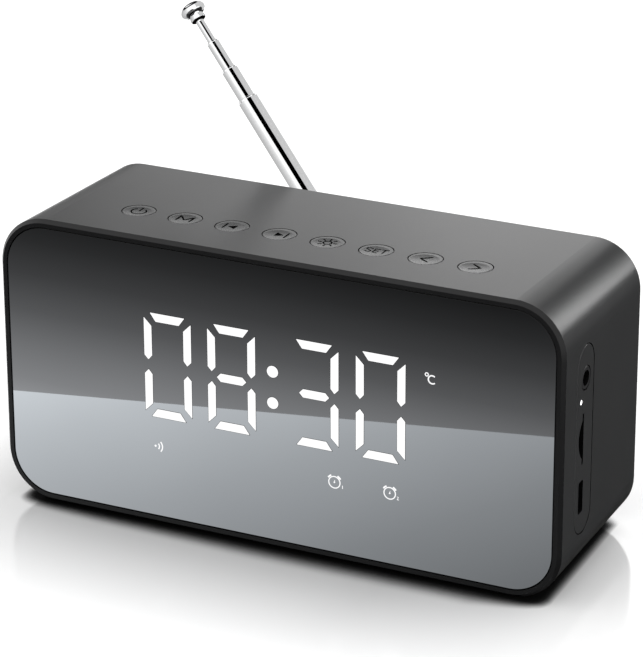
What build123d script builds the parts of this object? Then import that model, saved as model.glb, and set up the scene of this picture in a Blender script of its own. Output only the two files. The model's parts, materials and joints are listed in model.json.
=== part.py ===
"""Bedside clock radio: drafted shell, mirror display, eight top buttons and a telescopic antenna.

Millimetres. +X is the listener's right, +Y points to the back and +Z is up. The origin is on the
table, in the middle of the footprint that the set covers with its antenna raised.
"""
import math
import os

from build123d import *

# --- shell ---------------------------------------------------------------------------------
WIDTH = 139.8
HEIGHT = 70.0
DEPTH = 46.9
CORNER_RADIUS = 12.0
DRAFT = 1.0                 # each side of the shell draws in this much towards the back
WALL = 2.0
MID_Y = -13.2               # middle of the shell; the raised antenna takes the rest of the depth
FOOT_GAP = 0.5              # air under the shell's front edge
CHAMFER_IN = 0.78           # front chamfer, seen from the front
CHAMFER_DEPTH = 1.03        # front chamfer, seen from the side
FOOT_RADIUS = 5.0
FEET = (                    # x, distance from the shell's middle, height
    (-54.0, -13.0, 1.6),
    (54.0, -13.0, 1.6),
    (-54.0, 13.0, 2.2),
    (54.0, 13.0, 2.2),
)

FRONT_Y = MID_Y - DEPTH / 2
BACK_Y = MID_Y + DEPTH / 2
SEAM_Y = FRONT_Y + CHAMFER_DEPTH
BASE_Z = FOOT_GAP
TOP_Z = BASE_Z + HEIGHT
CENTER_Z = BASE_Z + HEIGHT / 2
SHELL_LENGTH = BACK_Y - SEAM_Y
DRAFT_ANGLE = math.degrees(math.atan2(DRAFT, SHELL_LENGTH))

# --- front: bezel, mirror and display --------------------------------------------------------
MIRROR_INSET = 1.99
MIRROR_GAP = 0.2
MIRROR_RECESS = 0.1
MIRROR_THICK = 1.0
TAPE_THICK = 0.2
WEB_THICK = 1.5
SPIGOT_INSET = 1.3          # the sleeve's wall is thinner here, so that the spigot slides in
SPIGOT_LENGTH = 4.0
SPIGOT_WALL = 2.4
MIRROR_BACK_Y = FRONT_Y + MIRROR_RECESS + MIRROR_THICK
WEB_Y = MIRROR_BACK_Y + TAPE_THICK
WEB_BACK_Y = WEB_Y + WEB_THICK
LIGHT_BOX_SIZE = (90.0, 40.0)
LIGHT_BOX_DROP = 4.0        # the light box also reaches the icons under the digits
LIGHT_BOX_Y = MIRROR_BACK_Y + 0.1
LIGHT_BOX_DEPTH = 4.7
WINDOW_THICK = 0.8
DISPLAY_BOARD_Y = LIGHT_BOX_Y + LIGHT_BOX_DEPTH
DISPLAY_BOARD_THICK = 1.0
DISPLAY_BOARD_SIZE = (96.0, 46.0)

DIGIT_Z = BASE_Z + 39.47
DIGIT_X = (-26.5, -10.3, 10.35, 26.6)
DIGIT_HALF_WIDTH = 6.0
DIGIT_HALF_HEIGHT = 12.7
STROKE = 2.0
DOT_Z = (BASE_Z + 43.27, BASE_Z + 35.7)
DOT_RADIUS = 1.4
ICON_SPOTS = ((-29.2, BASE_Z + 19.5), (15.3, BASE_Z + 19.3), (28.9, BASE_Z + 19.3))
DEGREE_SPOT = (38.5, BASE_Z + 48.6)
ICON_RADIUS = 2.6
LED_SIZE = (1.6, 0.8, 0.6)
HEADER_SIZE = (26.0, 2.5)
HEADER_Z = BASE_Z + 14.0

# --- top buttons ---------------------------------------------------------------------------
BUTTON_PITCH = 12.0
BUTTON_NAMES = ("power", "mode", "previous", "next", "light", "set", "down", "up")
BUTTON_Y = MID_Y - 7.5
BUTTON_RADIUS = 3.9
BUTTON_GAP = 0.16
BUTTON_RIM_RADIUS = 0.2
BUTTON_DISH_RADIUS = 34.0
BUTTON_DISH_DEPTH = 0.16
BUTTON_FLANGE_RADIUS = 4.7
BUTTON_FLANGE_THICK = 0.8
BUTTON_FLANGE_Z = TOP_Z - 3.75
PLUNGER_RADIUS = 1.0
SWITCH_SIZE = (6.0, 6.0, 3.0)
WELL_RADIUS = 1.35
WELL_DEPTH = 1.4
BUTTON_BOARD_SIZE = (106.0, 13.4)
BUTTON_BOARD_THICK = 1.2
BUTTON_BOARD_TOP_Z = TOP_Z - 7.8
BUTTON_BOARD_Y = MID_Y - 6.5
BUTTON_POSTS = ((-50.0, BUTTON_Y), (50.0, BUTTON_Y), (0.0, MID_Y - 2.2))
POST_RADIUS = 2.2
POST_HOLE_RADIUS = 0.8
RIBBON_WIDTH = 18.0
RIBBON_THICK = 0.3

# --- right side: ports ---------------------------------------------------------------------
PANEL_Y = MID_Y - 10.5
PANEL_HEIGHT = 45.0
PANEL_WIDTH = 10.4
PANEL_THICK = 1.2
PANEL_GROOVE = 0.22
PANEL_LEDGE = 1.1
JACK_SPOT = (MID_Y - 10.3, BASE_Z + 49.5)
JACK_RING_RADIUS = 2.75
JACK_BORE_RADIUS = 1.8
JACK_BORE_LENGTH = 14.0
LIGHT_SPOT = (MID_Y - 12.8, BASE_Z + 44.6)
LIGHT_RADIUS = 0.6
CARD_SPOT = (MID_Y - 11.35, BASE_Z + 35.4)
CARD_SLOT = (12.1, 0.8)
NOTCH_RADIUS = 5.9
NOTCH_DEPTH = 2.1           # how far the thumb notch reaches in front of the slot
USB_SPOT = (MID_Y - 11.85, BASE_Z + 21.7)
USB_SIZE = (7.3, 2.5)
USB_OPENING = (7.7, 2.8)
USB_RECESS = 0.9
SOCKET_SETBACK = 0.2        # air between the shell's wall and the sockets behind it

# --- main board ----------------------------------------------------------------------------
BOARD_Y = MID_Y - 15.1
BOARD_THICK = 1.6
BOARD_BACK_Y = BOARD_Y + BOARD_THICK
BOARD_X = (-60.0, 66.0)
BOARD_Z = (BASE_Z + 8.0, BASE_Z + 60.0)
BOARD_POSTS = (
    (-56.0, BASE_Z + 12.0),
    (56.0, BASE_Z + 12.0),
    (-56.0, BASE_Z + 56.0),
    (52.0, BASE_Z + 56.0),
)
CHIPS = (
    # middle x, middle z, width, height, thickness
    (-20.0, 40.0, 9.0, 9.0, 1.2),
    (-20.0, 26.0, 6.0, 5.0, 1.5),
    (6.0, 30.0, 5.0, 6.4, 1.5),
    (20.0, 24.0, 4.0, 4.0, 2.4),
    (26.0, 44.0, 7.0, 4.4, 2.0),
    (40.0, 24.0, 6.3, 6.3, 3.0),
    (-42.0, 22.0, 6.0, 4.0, 3.4),
    (-42.0, 46.0, 8.0, 3.0, 1.0),
)

# --- screws --------------------------------------------------------------------------------
SCREW_HEAD_RADIUS = 1.9
SCREW_HEAD_THICK = 1.2
BOARD_SCREW_RADIUS = 0.75
BOARD_SCREW_GRIP = 3.5
BOARD_HOLE_RADIUS = 1.1
SPEAKER_SCREW_RADIUS = 0.95
COVER_SCREW_RADIUS = 0.9
COVER_SCREW_HEAD_RADIUS = 2.2
COVER_SCREW_HEAD_THICK = 0.9
COVER_SCREW_LENGTH = 7.5

# --- speakers and rear cover -----------------------------------------------------------------
COVER_RECESS = 0.8
COVER_THICK = 2.0
COVER_GAP = 0.15
COVER_Y = BACK_Y - COVER_RECESS - COVER_THICK
COVER_BACK_Y = BACK_Y - COVER_RECESS
SPEAKER_X = 38.0
SPEAKER_WINDOW_RADIUS = 17.0
GRILLE_RADIUS = 18.4
GRILLE_THICK = 0.8
GRILLE_HOLE_RADIUS = 0.75
GRILLE_PITCH = 2.4
FLANGE_SIZE = 40.0
FLANGE_THICK = 1.5
FLANGE_SCREW_SPOT = 17.0
CORNER_POST_X = 62.4
CORNER_POST_Z = 27.6
CORNER_POST_RADIUS = 3.4
CORNER_POST_LENGTH = 14.0
CORNER_POST_HOLE_RADIUS = 0.95
VENT_COUNT = 7
VENT_PITCH = 3.2
VENT_SIZE = (9.0, 1.3)
VENT_Z = BASE_Z + 14.0
MAGNET_RADIUS = 11.0
YOKE_RADIUS = 5.6           # inside the magnet's yoke, where the voice coil moves
POLE_RADIUS = 4.2

# --- antenna -------------------------------------------------------------------------------
PIVOT = Vector(0.0, BACK_Y + 4.5, BASE_Z + 42.4)
LEAN = 44.0                 # degrees left of upright, seen from the front
TILT = 13.1                 # degrees away from the back
TUBE_RADII = ((2.5, 2.2, 2.1), (2.0, 1.7, 1.6), (1.5, 1.2, 1.1))    # outside, bore, mouth
TUBE_STARTS = (4.6, 16.6, 24.0)
TUBE_ENDS = (57.7, 66.4, 74.4)
ROD_RADIUS = 1.0
ROD_START = 32.0
FLARE_LENGTH = 1.0          # wider foot that keeps each inner section in its tube
PLUG_RADIUS = 2.14
PLUG_END = 8.0
KNOB_START = 80.6
KNOB_RADIUS = 3.1
KNOB_LENGTH = 4.7
DOME_HEIGHT = 3.2
COLLAR_RADIUS = 1.95
TANG_THICK = 2.2
EAR_GAP = 2.4
EAR_THICK = 1.5
EAR_RADIUS = 2.4
PIN_RADIUS = 1.0
SWIVEL_RADIUS = 5.6
SWIVEL_SHAFT_RADIUS = 2.6
SWIVEL_THICK = 1.6
SWIVEL_LIFT = 0.1           # air under the turntable
SWIVEL_SCREW_RADIUS = 0.95
WASHER_RADIUS = 4.6
WASHER_THICK = 0.6

# --- battery -------------------------------------------------------------------------------
BATTERY_SIZE = (60.0, 26.0, 7.0)
BATTERY_Y = MID_Y + 5.8
TRAY_Z = BASE_Z + 4.0
TRAY_THICK = 1.2
TRAY_RIM = 1.4
TRAY_WALL = 1.2
TRAY_WALL_HEIGHT = 2.5
WIRE_RADIUS = 0.6


def shell_inset(y):
    """How far each side of the shell has drawn in at depth y."""
    return DRAFT * (y - SEAM_Y) / SHELL_LENGTH


def front_plane(y):
    """Plane across the set at depth y: its x is the set's x and its y is the set's z."""
    return Plane.XZ.offset(-y)


def shell_outline(inset):
    """Draw the shell's rounded outline, drawn in by inset, in the open sketch."""
    with Locations((0, CENTER_Z)):
        RectangleRounded(WIDTH - 2 * inset, HEIGHT - 2 * inset, CORNER_RADIUS - inset)


def save(builder, label):
    builder.part.label = label
    export_step(builder.part, f"parts/{label}.step")


def side_plane(y, z, inwards=0.0):
    """Plane on the drafted right side at (y, z): its x points back, its y up and its normal out."""
    angle = math.radians(DRAFT_ANGLE)
    normal = Vector(math.cos(angle), math.sin(angle), 0)
    face = Vector(WIDTH / 2 - shell_inset(y), y, z)
    return Plane(origin=face - normal * inwards, x_dir=(-math.sin(angle), math.cos(angle), 0), z_dir=normal)


def roof_plane(y):
    """Plane on the drafted top at depth y, its normal pointing out."""
    angle = math.radians(DRAFT_ANGLE)
    normal = (0, math.sin(angle), math.cos(angle))
    return Plane(origin=(0, y, TOP_Z - shell_inset(y)), x_dir=(1, 0, 0), z_dir=normal)


def button_x(index):
    return (index - (len(BUTTON_NAMES) - 1) / 2) * BUTTON_PITCH


# =============================================================================================
# Shell
# =============================================================================================

def corner_posts():
    return [(sx * CORNER_POST_X, CENTER_Z + sz * CORNER_POST_Z) for sx in (-1, 1) for sz in (-1, 1)]


def make_housing_sleeve():
    """Drafted tube that forms the top, bottom and sides."""
    with BuildPart() as housing_sleeve:
        with BuildSketch(front_plane(SEAM_Y)):
            shell_outline(0)
        with BuildSketch(front_plane(BACK_Y)):
            shell_outline(DRAFT)
        loft()
        with BuildPart(mode=Mode.PRIVATE) as hollow:
            with BuildSketch(front_plane(SEAM_Y)):
                shell_outline(WALL)
            with BuildSketch(front_plane(BACK_Y)):
                shell_outline(DRAFT + WALL)
            loft()
        # corner posts take the rear screws, hanging posts carry the button board
        with BuildPart(mode=Mode.PRIVATE) as posts:
            with BuildSketch(front_plane(COVER_Y)):
                with Locations(*corner_posts()):
                    Circle(CORNER_POST_RADIUS)
            extrude(amount=CORNER_POST_LENGTH)
            with BuildSketch(Plane.XY.offset(BUTTON_BOARD_TOP_Z)):
                with Locations(*BUTTON_POSTS):
                    Circle(POST_RADIUS)
            extrude(amount=TOP_Z - WALL / 2 - BUTTON_BOARD_TOP_Z - 0.5)
            with BuildSketch(Plane.XY.offset(BASE_Z + 1.5)):
                with Locations((-26, BATTERY_Y), (26, BATTERY_Y)):
                    Rectangle(4, 26)
            extrude(amount=TRAY_Z - BASE_Z - 1.5)
        add(hollow.part, mode=Mode.SUBTRACT)
        with BuildSketch(front_plane(SEAM_Y)):
            shell_outline(SPIGOT_INSET - 0.1)
        extrude(amount=-SPIGOT_LENGTH - 0.2, mode=Mode.SUBTRACT)
        add(posts.part)
        with BuildSketch(front_plane(COVER_Y)):
            with Locations(*corner_posts()):
                Circle(CORNER_POST_HOLE_RADIUS)
        extrude(amount=COVER_SCREW_LENGTH + 1.5, mode=Mode.SUBTRACT)
        with BuildSketch(Plane.XY.offset(BUTTON_BOARD_TOP_Z)):
            with Locations(*BUTTON_POSTS):
                Circle(POST_HOLE_RADIUS)
        extrude(amount=BOARD_SCREW_GRIP + 0.7, mode=Mode.SUBTRACT)
        with BuildSketch(Plane.XY.offset(TOP_Z + 1)):
            with Locations(*[(button_x(i), BUTTON_Y) for i in range(len(BUTTON_NAMES))]):
                Circle(BUTTON_RADIUS + BUTTON_GAP)
        extrude(amount=-WALL - 2, mode=Mode.SUBTRACT)
        for x, dy, top in FEET:
            with BuildSketch(Plane.XY.offset(0)):
                with Locations((x, MID_Y + dy)):
                    Circle(FOOT_RADIUS + 0.1)
            extrude(amount=top, mode=Mode.SUBTRACT)
        with BuildSketch(side_plane(PANEL_Y, CENTER_Z)):
            SlotOverall(PANEL_HEIGHT, PANEL_WIDTH, rotation=90)
        extrude(amount=-PANEL_THICK, mode=Mode.SUBTRACT)
        with BuildSketch(side_plane(PANEL_Y, CENTER_Z)):
            SlotOverall(PANEL_HEIGHT - 2 * PANEL_LEDGE, PANEL_WIDTH - 2 * PANEL_LEDGE, rotation=90)
        extrude(amount=-WALL - 1, mode=Mode.SUBTRACT)
    return housing_sleeve


def make_rubber_feet():
    with BuildPart() as rubber_feet:
        for x, dy, top in FEET:
            with BuildSketch(Plane.XY):
                with Locations((x, MID_Y + dy)):
                    Circle(FOOT_RADIUS)
            extrude(amount=top)
    return rubber_feet


def make_front_bezel():
    """Chamfered frame with a web behind the mirror, a spigot for the sleeve and board posts."""
    with BuildPart() as front_bezel:
        with BuildSketch(front_plane(FRONT_Y)):
            shell_outline(CHAMFER_IN)
        with BuildSketch(front_plane(SEAM_Y)):
            shell_outline(0)
        loft()
        with BuildSketch(front_plane(SEAM_Y)):
            shell_outline(SPIGOT_INSET)
        extrude(amount=-SPIGOT_LENGTH)
        with BuildSketch(front_plane(FRONT_Y)):
            shell_outline(MIRROR_INSET - MIRROR_GAP)
        extrude(amount=FRONT_Y - WEB_Y, mode=Mode.SUBTRACT)
        with BuildSketch(front_plane(WEB_BACK_Y)):
            shell_outline(SPIGOT_INSET + SPIGOT_WALL)
        extrude(amount=-SPIGOT_LENGTH, mode=Mode.SUBTRACT)
        with BuildSketch(front_plane(WEB_Y)):
            with Locations((0, DIGIT_Z - LIGHT_BOX_DROP)):
                Rectangle(LIGHT_BOX_SIZE[0] + 0.4, LIGHT_BOX_SIZE[1] + 0.4)
        extrude(amount=-WEB_THICK, mode=Mode.SUBTRACT)
        with BuildSketch(front_plane(WEB_BACK_Y)):
            with Locations(*BOARD_POSTS):
                Circle(POST_RADIUS)
        extrude(amount=WEB_BACK_Y - BOARD_Y)
        with BuildSketch(front_plane(BOARD_Y)):
            with Locations(*BOARD_POSTS):
                Circle(POST_HOLE_RADIUS)
        extrude(amount=BOARD_SCREW_GRIP + 0.5, mode=Mode.SUBTRACT)
    return front_bezel


def make_mirror_panel():
    with BuildPart() as mirror_panel:
        with BuildSketch(front_plane(FRONT_Y + MIRROR_RECESS)):
            shell_outline(MIRROR_INSET)
        extrude(amount=-MIRROR_THICK)
        front_edges = mirror_panel.faces().sort_by(Axis.Y)[0].edges()
        chamfer(front_edges, length=0.12)
    return mirror_panel


def make_mirror_tape():
    """Double-sided adhesive frame between the mirror and the bezel's web."""
    with BuildPart() as mirror_tape:
        with BuildSketch(front_plane(MIRROR_BACK_Y)):
            shell_outline(MIRROR_INSET + 0.5)
        extrude(amount=-TAPE_THICK)
        with BuildSketch(front_plane(MIRROR_BACK_Y)):
            with Locations((0, DIGIT_Z - LIGHT_BOX_DROP)):
                Rectangle(LIGHT_BOX_SIZE[0] + 2, LIGHT_BOX_SIZE[1] + 2)
        extrude(amount=-TAPE_THICK, mode=Mode.SUBTRACT)
    return mirror_tape


# =============================================================================================
# Display
# =============================================================================================
def segment_outlines():
    """Corner points of the seven bars of one digit, about the digit's centre."""
    w = DIGIT_HALF_WIDTH
    h = DIGIT_HALF_HEIGHT
    t = STROKE
    cap = [(-w + 1.6, h), (w - 1.6, h), (w - 1.6 - 0.72 * t, h - t), (-w + 1.6 + 0.72 * t, h - t)]
    side = [(-w, h - 1.3), (-w + 1.92, h - 3.2), (-w + 1.95, 2.3), (-w + 1.0, 1.2), (-w, 2.25)]
    middle = [(-w + 2.3, 0), (-w + 3.25, t / 2), (w - 3.25, t / 2), (w - 2.3, 0)]
    middle += [(w - 3.25, -t / 2), (-w + 3.25, -t / 2)]

    def flipped(points, x_sign, y_sign):
        return [(x_sign * x, y_sign * y) for x, y in points]

    sides = [flipped(side, sx, sy) for sx in (1, -1) for sy in (1, -1)]
    return [cap, flipped(cap, 1, -1), middle] + sides


def draw_segments():
    """Sketch every bar, dot and icon window in the open sketch."""
    for x in DIGIT_X:
        for points in segment_outlines():
            Polygon(*[(x + px, DIGIT_Z + pz) for px, pz in points], align=None)
    with Locations(*[((DIGIT_X[1] + DIGIT_X[2]) / 2, z) for z in DOT_Z]):
        Circle(DOT_RADIUS)
    with Locations(*ICON_SPOTS, DEGREE_SPOT):
        Circle(ICON_RADIUS)


def make_segment_windows():
    """Milky diffusers that fill the front of each opening in the light box."""
    with BuildPart() as segment_windows:
        with BuildSketch(front_plane(LIGHT_BOX_Y)):
            draw_segments()
        extrude(amount=-WINDOW_THICK)
    return segment_windows


def make_display_light_box():
    with BuildPart() as display_light_box:
        with BuildSketch(front_plane(LIGHT_BOX_Y)):
            with Locations((0, DIGIT_Z - LIGHT_BOX_DROP)):
                Rectangle(*LIGHT_BOX_SIZE)
        extrude(amount=-LIGHT_BOX_DEPTH)
        with BuildSketch(front_plane(LIGHT_BOX_Y)):
            draw_segments()
        extrude(amount=-LIGHT_BOX_DEPTH, mode=Mode.SUBTRACT)
    return display_light_box


def make_display_board():
    with BuildPart() as display_board:
        with BuildSketch(front_plane(DISPLAY_BOARD_Y)):
            with Locations((0, DIGIT_Z - LIGHT_BOX_DROP)):
                Rectangle(*DISPLAY_BOARD_SIZE)
        extrude(amount=-DISPLAY_BOARD_THICK)
    return display_board


def led_spots():
    """Middle of every bar, dot and icon, where a lamp sits on the display board."""
    w = DIGIT_HALF_WIDTH - STROKE / 2
    h = DIGIT_HALF_HEIGHT - STROKE / 2
    bars = [(0, h), (0, -h), (0, 0), (-w, h / 2), (w, h / 2), (-w, -h / 2), (w, -h / 2)]
    spots = [(x + bx, DIGIT_Z + bz) for x in DIGIT_X for bx, bz in bars]
    spots += [((DIGIT_X[1] + DIGIT_X[2]) / 2, z) for z in DOT_Z]
    return spots + list(ICON_SPOTS) + [DEGREE_SPOT]


def make_display_leds():
    with BuildPart() as display_leds:
        with BuildSketch(front_plane(DISPLAY_BOARD_Y)):
            with Locations(*led_spots()):
                Rectangle(LED_SIZE[0], LED_SIZE[1])
        extrude(amount=LED_SIZE[2])
    return display_leds


def make_display_header():
    """Pin header that joins the display board to the main board."""
    start = DISPLAY_BOARD_Y + DISPLAY_BOARD_THICK
    with BuildPart() as display_header:
        with BuildSketch(front_plane(start)):
            with Locations((0, HEADER_Z)):
                Rectangle(*HEADER_SIZE)
        extrude(amount=start - BOARD_Y)
    return display_header


# =============================================================================================
# Buttons
# =============================================================================================
def make_button(index):
    """Dished cap with a retaining flange and a plunger that reaches into its switch."""
    x = button_x(index)
    switch_top = BUTTON_BOARD_TOP_Z + SWITCH_SIZE[2]
    with BuildPart() as button:
        with BuildSketch(Plane.XY.offset(BUTTON_FLANGE_Z)):
            with Locations((x, BUTTON_Y)):
                Circle(BUTTON_RADIUS)
        extrude(amount=TOP_Z - BUTTON_FLANGE_Z + 1)
        split(bisect_by=roof_plane(BUTTON_Y), keep=Keep.BOTTOM)
        cap_rim = button.faces().sort_by(Axis.Z)[-1].edges()
        fillet(cap_rim, radius=BUTTON_RIM_RADIUS)
        dish_z = TOP_Z - shell_inset(BUTTON_Y) - BUTTON_DISH_DEPTH + BUTTON_DISH_RADIUS
        with Locations((x, BUTTON_Y, dish_z)):
            Sphere(BUTTON_DISH_RADIUS, mode=Mode.SUBTRACT)
        with BuildSketch(Plane.XY.offset(BUTTON_FLANGE_Z)):
            with Locations((x, BUTTON_Y)):
                Circle(BUTTON_FLANGE_RADIUS)
        extrude(amount=BUTTON_FLANGE_THICK)
        with BuildSketch(Plane.XY.offset(switch_top - 0.3)):
            with Locations((x, BUTTON_Y)):
                Circle(PLUNGER_RADIUS)
        extrude(amount=BUTTON_FLANGE_Z - switch_top + 0.4)
    return button


def make_button_board():
    with BuildPart() as button_board:
        with BuildSketch(Plane.XY.offset(BUTTON_BOARD_TOP_Z)):
            with Locations((0, BUTTON_BOARD_Y)):
                Rectangle(*BUTTON_BOARD_SIZE)
            with Locations(*BUTTON_POSTS):
                Circle(BOARD_HOLE_RADIUS, mode=Mode.SUBTRACT)
        extrude(amount=-BUTTON_BOARD_THICK)
    return button_board


def make_button_switches():
    """Tactile switches; each has a well that its button's plunger works in."""
    spots = [(button_x(i), BUTTON_Y) for i in range(len(BUTTON_NAMES))]
    with BuildPart() as button_switches:
        with BuildSketch(Plane.XY.offset(BUTTON_BOARD_TOP_Z)):
            with Locations(*spots):
                RectangleRounded(SWITCH_SIZE[0], SWITCH_SIZE[1], 0.6)
        extrude(amount=SWITCH_SIZE[2])
        with BuildSketch(Plane.XY.offset(BUTTON_BOARD_TOP_Z + SWITCH_SIZE[2])):
            with Locations(*spots):
                Circle(WELL_RADIUS)
        extrude(amount=-WELL_DEPTH, mode=Mode.SUBTRACT)
    return button_switches


def make_button_ribbon():
    """Flat cable from under the button board down to the main board's back."""
    under = BUTTON_BOARD_TOP_Z - BUTTON_BOARD_THICK
    thick = RIBBON_THICK
    front = BOARD_BACK_Y
    turn = front + 3.2
    with BuildPart() as button_ribbon:
        with BuildSketch(Plane.YZ.offset(-RIBBON_WIDTH / 2)):
            with BuildLine():
                Polyline(
                    (front, under - 10),
                    (front + thick, under - 10),
                    (front + thick, under - 7),
                    (turn + thick, under - 3),
                    (turn + thick, under),
                    (turn, under),
                    (turn, under - 3 + 0.1),
                    (front, under - 7 + 0.1),
                    close=True,
                )
            make_face()
        extrude(amount=RIBBON_WIDTH)
    return button_ribbon


# =============================================================================================
# Main board and ports
# =============================================================================================
def make_main_board():
    with BuildPart() as main_board:
        with BuildSketch(front_plane(BOARD_Y)):
            with Locations(((BOARD_X[0] + BOARD_X[1]) / 2, (BOARD_Z[0] + BOARD_Z[1]) / 2)):
                Rectangle(BOARD_X[1] - BOARD_X[0], BOARD_Z[1] - BOARD_Z[0])
            with Locations(*BOARD_POSTS):
                Circle(BOARD_HOLE_RADIUS, mode=Mode.SUBTRACT)
        extrude(amount=-BOARD_THICK)
    return main_board


def make_main_board_chips():
    with BuildPart() as main_board_chips:
        for x, z, width, height, thick in CHIPS:
            with BuildSketch(front_plane(BOARD_BACK_Y)):
                with Locations((x, BASE_Z + z)):
                    RectangleRounded(width, height, 0.3)
            extrude(amount=-thick)
    return main_board_chips


def make_port_panel():
    """Oblong insert on the right side with the openings for every socket."""
    with BuildPart() as port_panel:
        with BuildSketch(side_plane(PANEL_Y, CENTER_Z)):
            size = (PANEL_HEIGHT - 2 * PANEL_GROOVE, PANEL_WIDTH - 2 * PANEL_GROOVE)
            SlotOverall(*size, rotation=90)
            with Locations((JACK_SPOT[0] - PANEL_Y, JACK_SPOT[1] - CENTER_Z)):
                Circle(JACK_RING_RADIUS + 0.1, mode=Mode.SUBTRACT)
            with Locations((LIGHT_SPOT[0] - PANEL_Y, LIGHT_SPOT[1] - CENTER_Z)):
                Circle(LIGHT_RADIUS + 0.05, mode=Mode.SUBTRACT)
            with Locations((CARD_SPOT[0] - PANEL_Y, CARD_SPOT[1] - CENTER_Z)):
                Rectangle(CARD_SLOT[1], CARD_SLOT[0], mode=Mode.SUBTRACT)
            with Locations((USB_SPOT[0] - PANEL_Y, USB_SPOT[1] - CENTER_Z)):
                RectangleRounded(USB_OPENING[1], USB_OPENING[0], 0.7, mode=Mode.SUBTRACT)
        extrude(amount=-PANEL_THICK)
        # thumb notch in front of the card slot
        notch_middle = NOTCH_RADIUS - NOTCH_DEPTH - CARD_SLOT[1] / 2
        with BuildSketch(side_plane(CARD_SPOT[0], CARD_SPOT[1])):
            with Locations((notch_middle, 0)):
                Circle(NOTCH_RADIUS)
            behind = (Align.MIN, Align.CENTER)
            Rectangle(4 * NOTCH_RADIUS, 4 * NOTCH_RADIUS, align=behind, mode=Mode.SUBTRACT)
        extrude(amount=-PANEL_THICK * 0.65, mode=Mode.SUBTRACT)
        outer_edges = port_panel.faces().sort_by(Axis.X)[-1].outer_wire().edges()
        fillet(outer_edges, radius=0.2)
    return port_panel


def make_aux_jack():
    """Headphone-size jack: moulded body with a metal ring flush with the panel."""
    mouth = WIDTH / 2 - shell_inset(JACK_SPOT[0])
    body_x = (54.0, WIDTH / 2 - WALL - DRAFT - SOCKET_SETBACK)
    with BuildPart() as aux_jack:
        with BuildSketch(Plane.YZ.offset(body_x[0])):
            with Locations(JACK_SPOT):
                Rectangle(6.0, 6.4)
        extrude(amount=body_x[1] - body_x[0])
        with BuildSketch(Plane.YZ.offset(body_x[1])):
            with Locations(JACK_SPOT):
                Circle(JACK_RING_RADIUS)
        extrude(amount=mouth - body_x[1])
        rim = aux_jack.faces().sort_by(Axis.X)[-1].edges()
        chamfer(rim, length=0.25)
        with BuildSketch(Plane.YZ.offset(mouth)):
            with Locations(JACK_SPOT):
                Circle(JACK_BORE_RADIUS)
        extrude(amount=-JACK_BORE_LENGTH, mode=Mode.SUBTRACT)
    return aux_jack


def make_usb_socket():
    """Steel shell of the charging socket with its contact tongue."""
    mouth = WIDTH / 2 - shell_inset(USB_SPOT[0]) - USB_RECESS
    length = 6.0
    with BuildPart() as usb_socket:
        with BuildSketch(Plane.YZ.offset(mouth - length)):
            with Locations(USB_SPOT):
                RectangleRounded(USB_SIZE[1], USB_SIZE[0], 0.6)
        extrude(amount=length)
        with BuildSketch(Plane.YZ.offset(mouth)):
            with Locations(USB_SPOT):
                RectangleRounded(USB_SIZE[1] - 0.6, USB_SIZE[0] - 0.6, 0.4)
        extrude(amount=-length + 0.6, mode=Mode.SUBTRACT)
        with BuildSketch(Plane.YZ.offset(mouth - length + 0.5)):
            with Locations((USB_SPOT[0] + 0.25, USB_SPOT[1])):
                Rectangle(0.6, USB_SIZE[0] - 2.4)
        extrude(amount=length - 1.3)
    return usb_socket


def make_card_socket():
    mouth = WIDTH / 2 - WALL - DRAFT - SOCKET_SETBACK
    length = 14.5
    height = 3.0
    middle_y = BOARD_BACK_Y + height / 2
    with BuildPart() as card_socket:
        with BuildSketch(Plane.YZ.offset(mouth - length)):
            with Locations((middle_y, CARD_SPOT[1])):
                Rectangle(height, 14.0)
        extrude(amount=length)
        with BuildSketch(Plane.YZ.offset(mouth)):
            with Locations(CARD_SPOT):
                Rectangle(CARD_SLOT[1] + 0.2, CARD_SLOT[0] - 0.2)
        extrude(amount=-length + 1.5, mode=Mode.SUBTRACT)
    return card_socket


def make_status_light():
    """Clear light pipe that brings a lamp on the main board out through the panel."""
    face = WIDTH / 2 - shell_inset(LIGHT_SPOT[0])
    start = BOARD_X[1] - 2.0
    with BuildPart() as status_light:
        with BuildSketch(Plane.YZ.offset(start)):
            with Locations(LIGHT_SPOT):
                Circle(LIGHT_RADIUS)
        extrude(amount=face - start)
        tip = status_light.faces().sort_by(Axis.X)[-1].edges()
        fillet(tip, radius=0.2)
    return status_light


# =============================================================================================
# Speakers, rear cover and battery
# =============================================================================================
def turned(x, points):
    """Face in the plane through a speaker's axis at x, from (radius, y) points, ready to turn."""
    with BuildSketch(Plane(origin=(x, 0, CENTER_Z), x_dir=(1, 0, 0), z_dir=(0, 0, 1))) as shape:
        with BuildLine():
            Polyline(*points, close=True)
        make_face()
    return shape.sketch


def speaker_axis(x):
    return Axis((x, 0, CENTER_Z), (0, 1, 0))


def flange_screw_spots(x):
    """The four screws round one speaker, in the plane of the back."""
    reach = FLANGE_SCREW_SPOT
    return [(x + sx * reach, CENTER_Z + sz * reach) for sx in (-1, 1) for sz in (-1, 1)]


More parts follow.
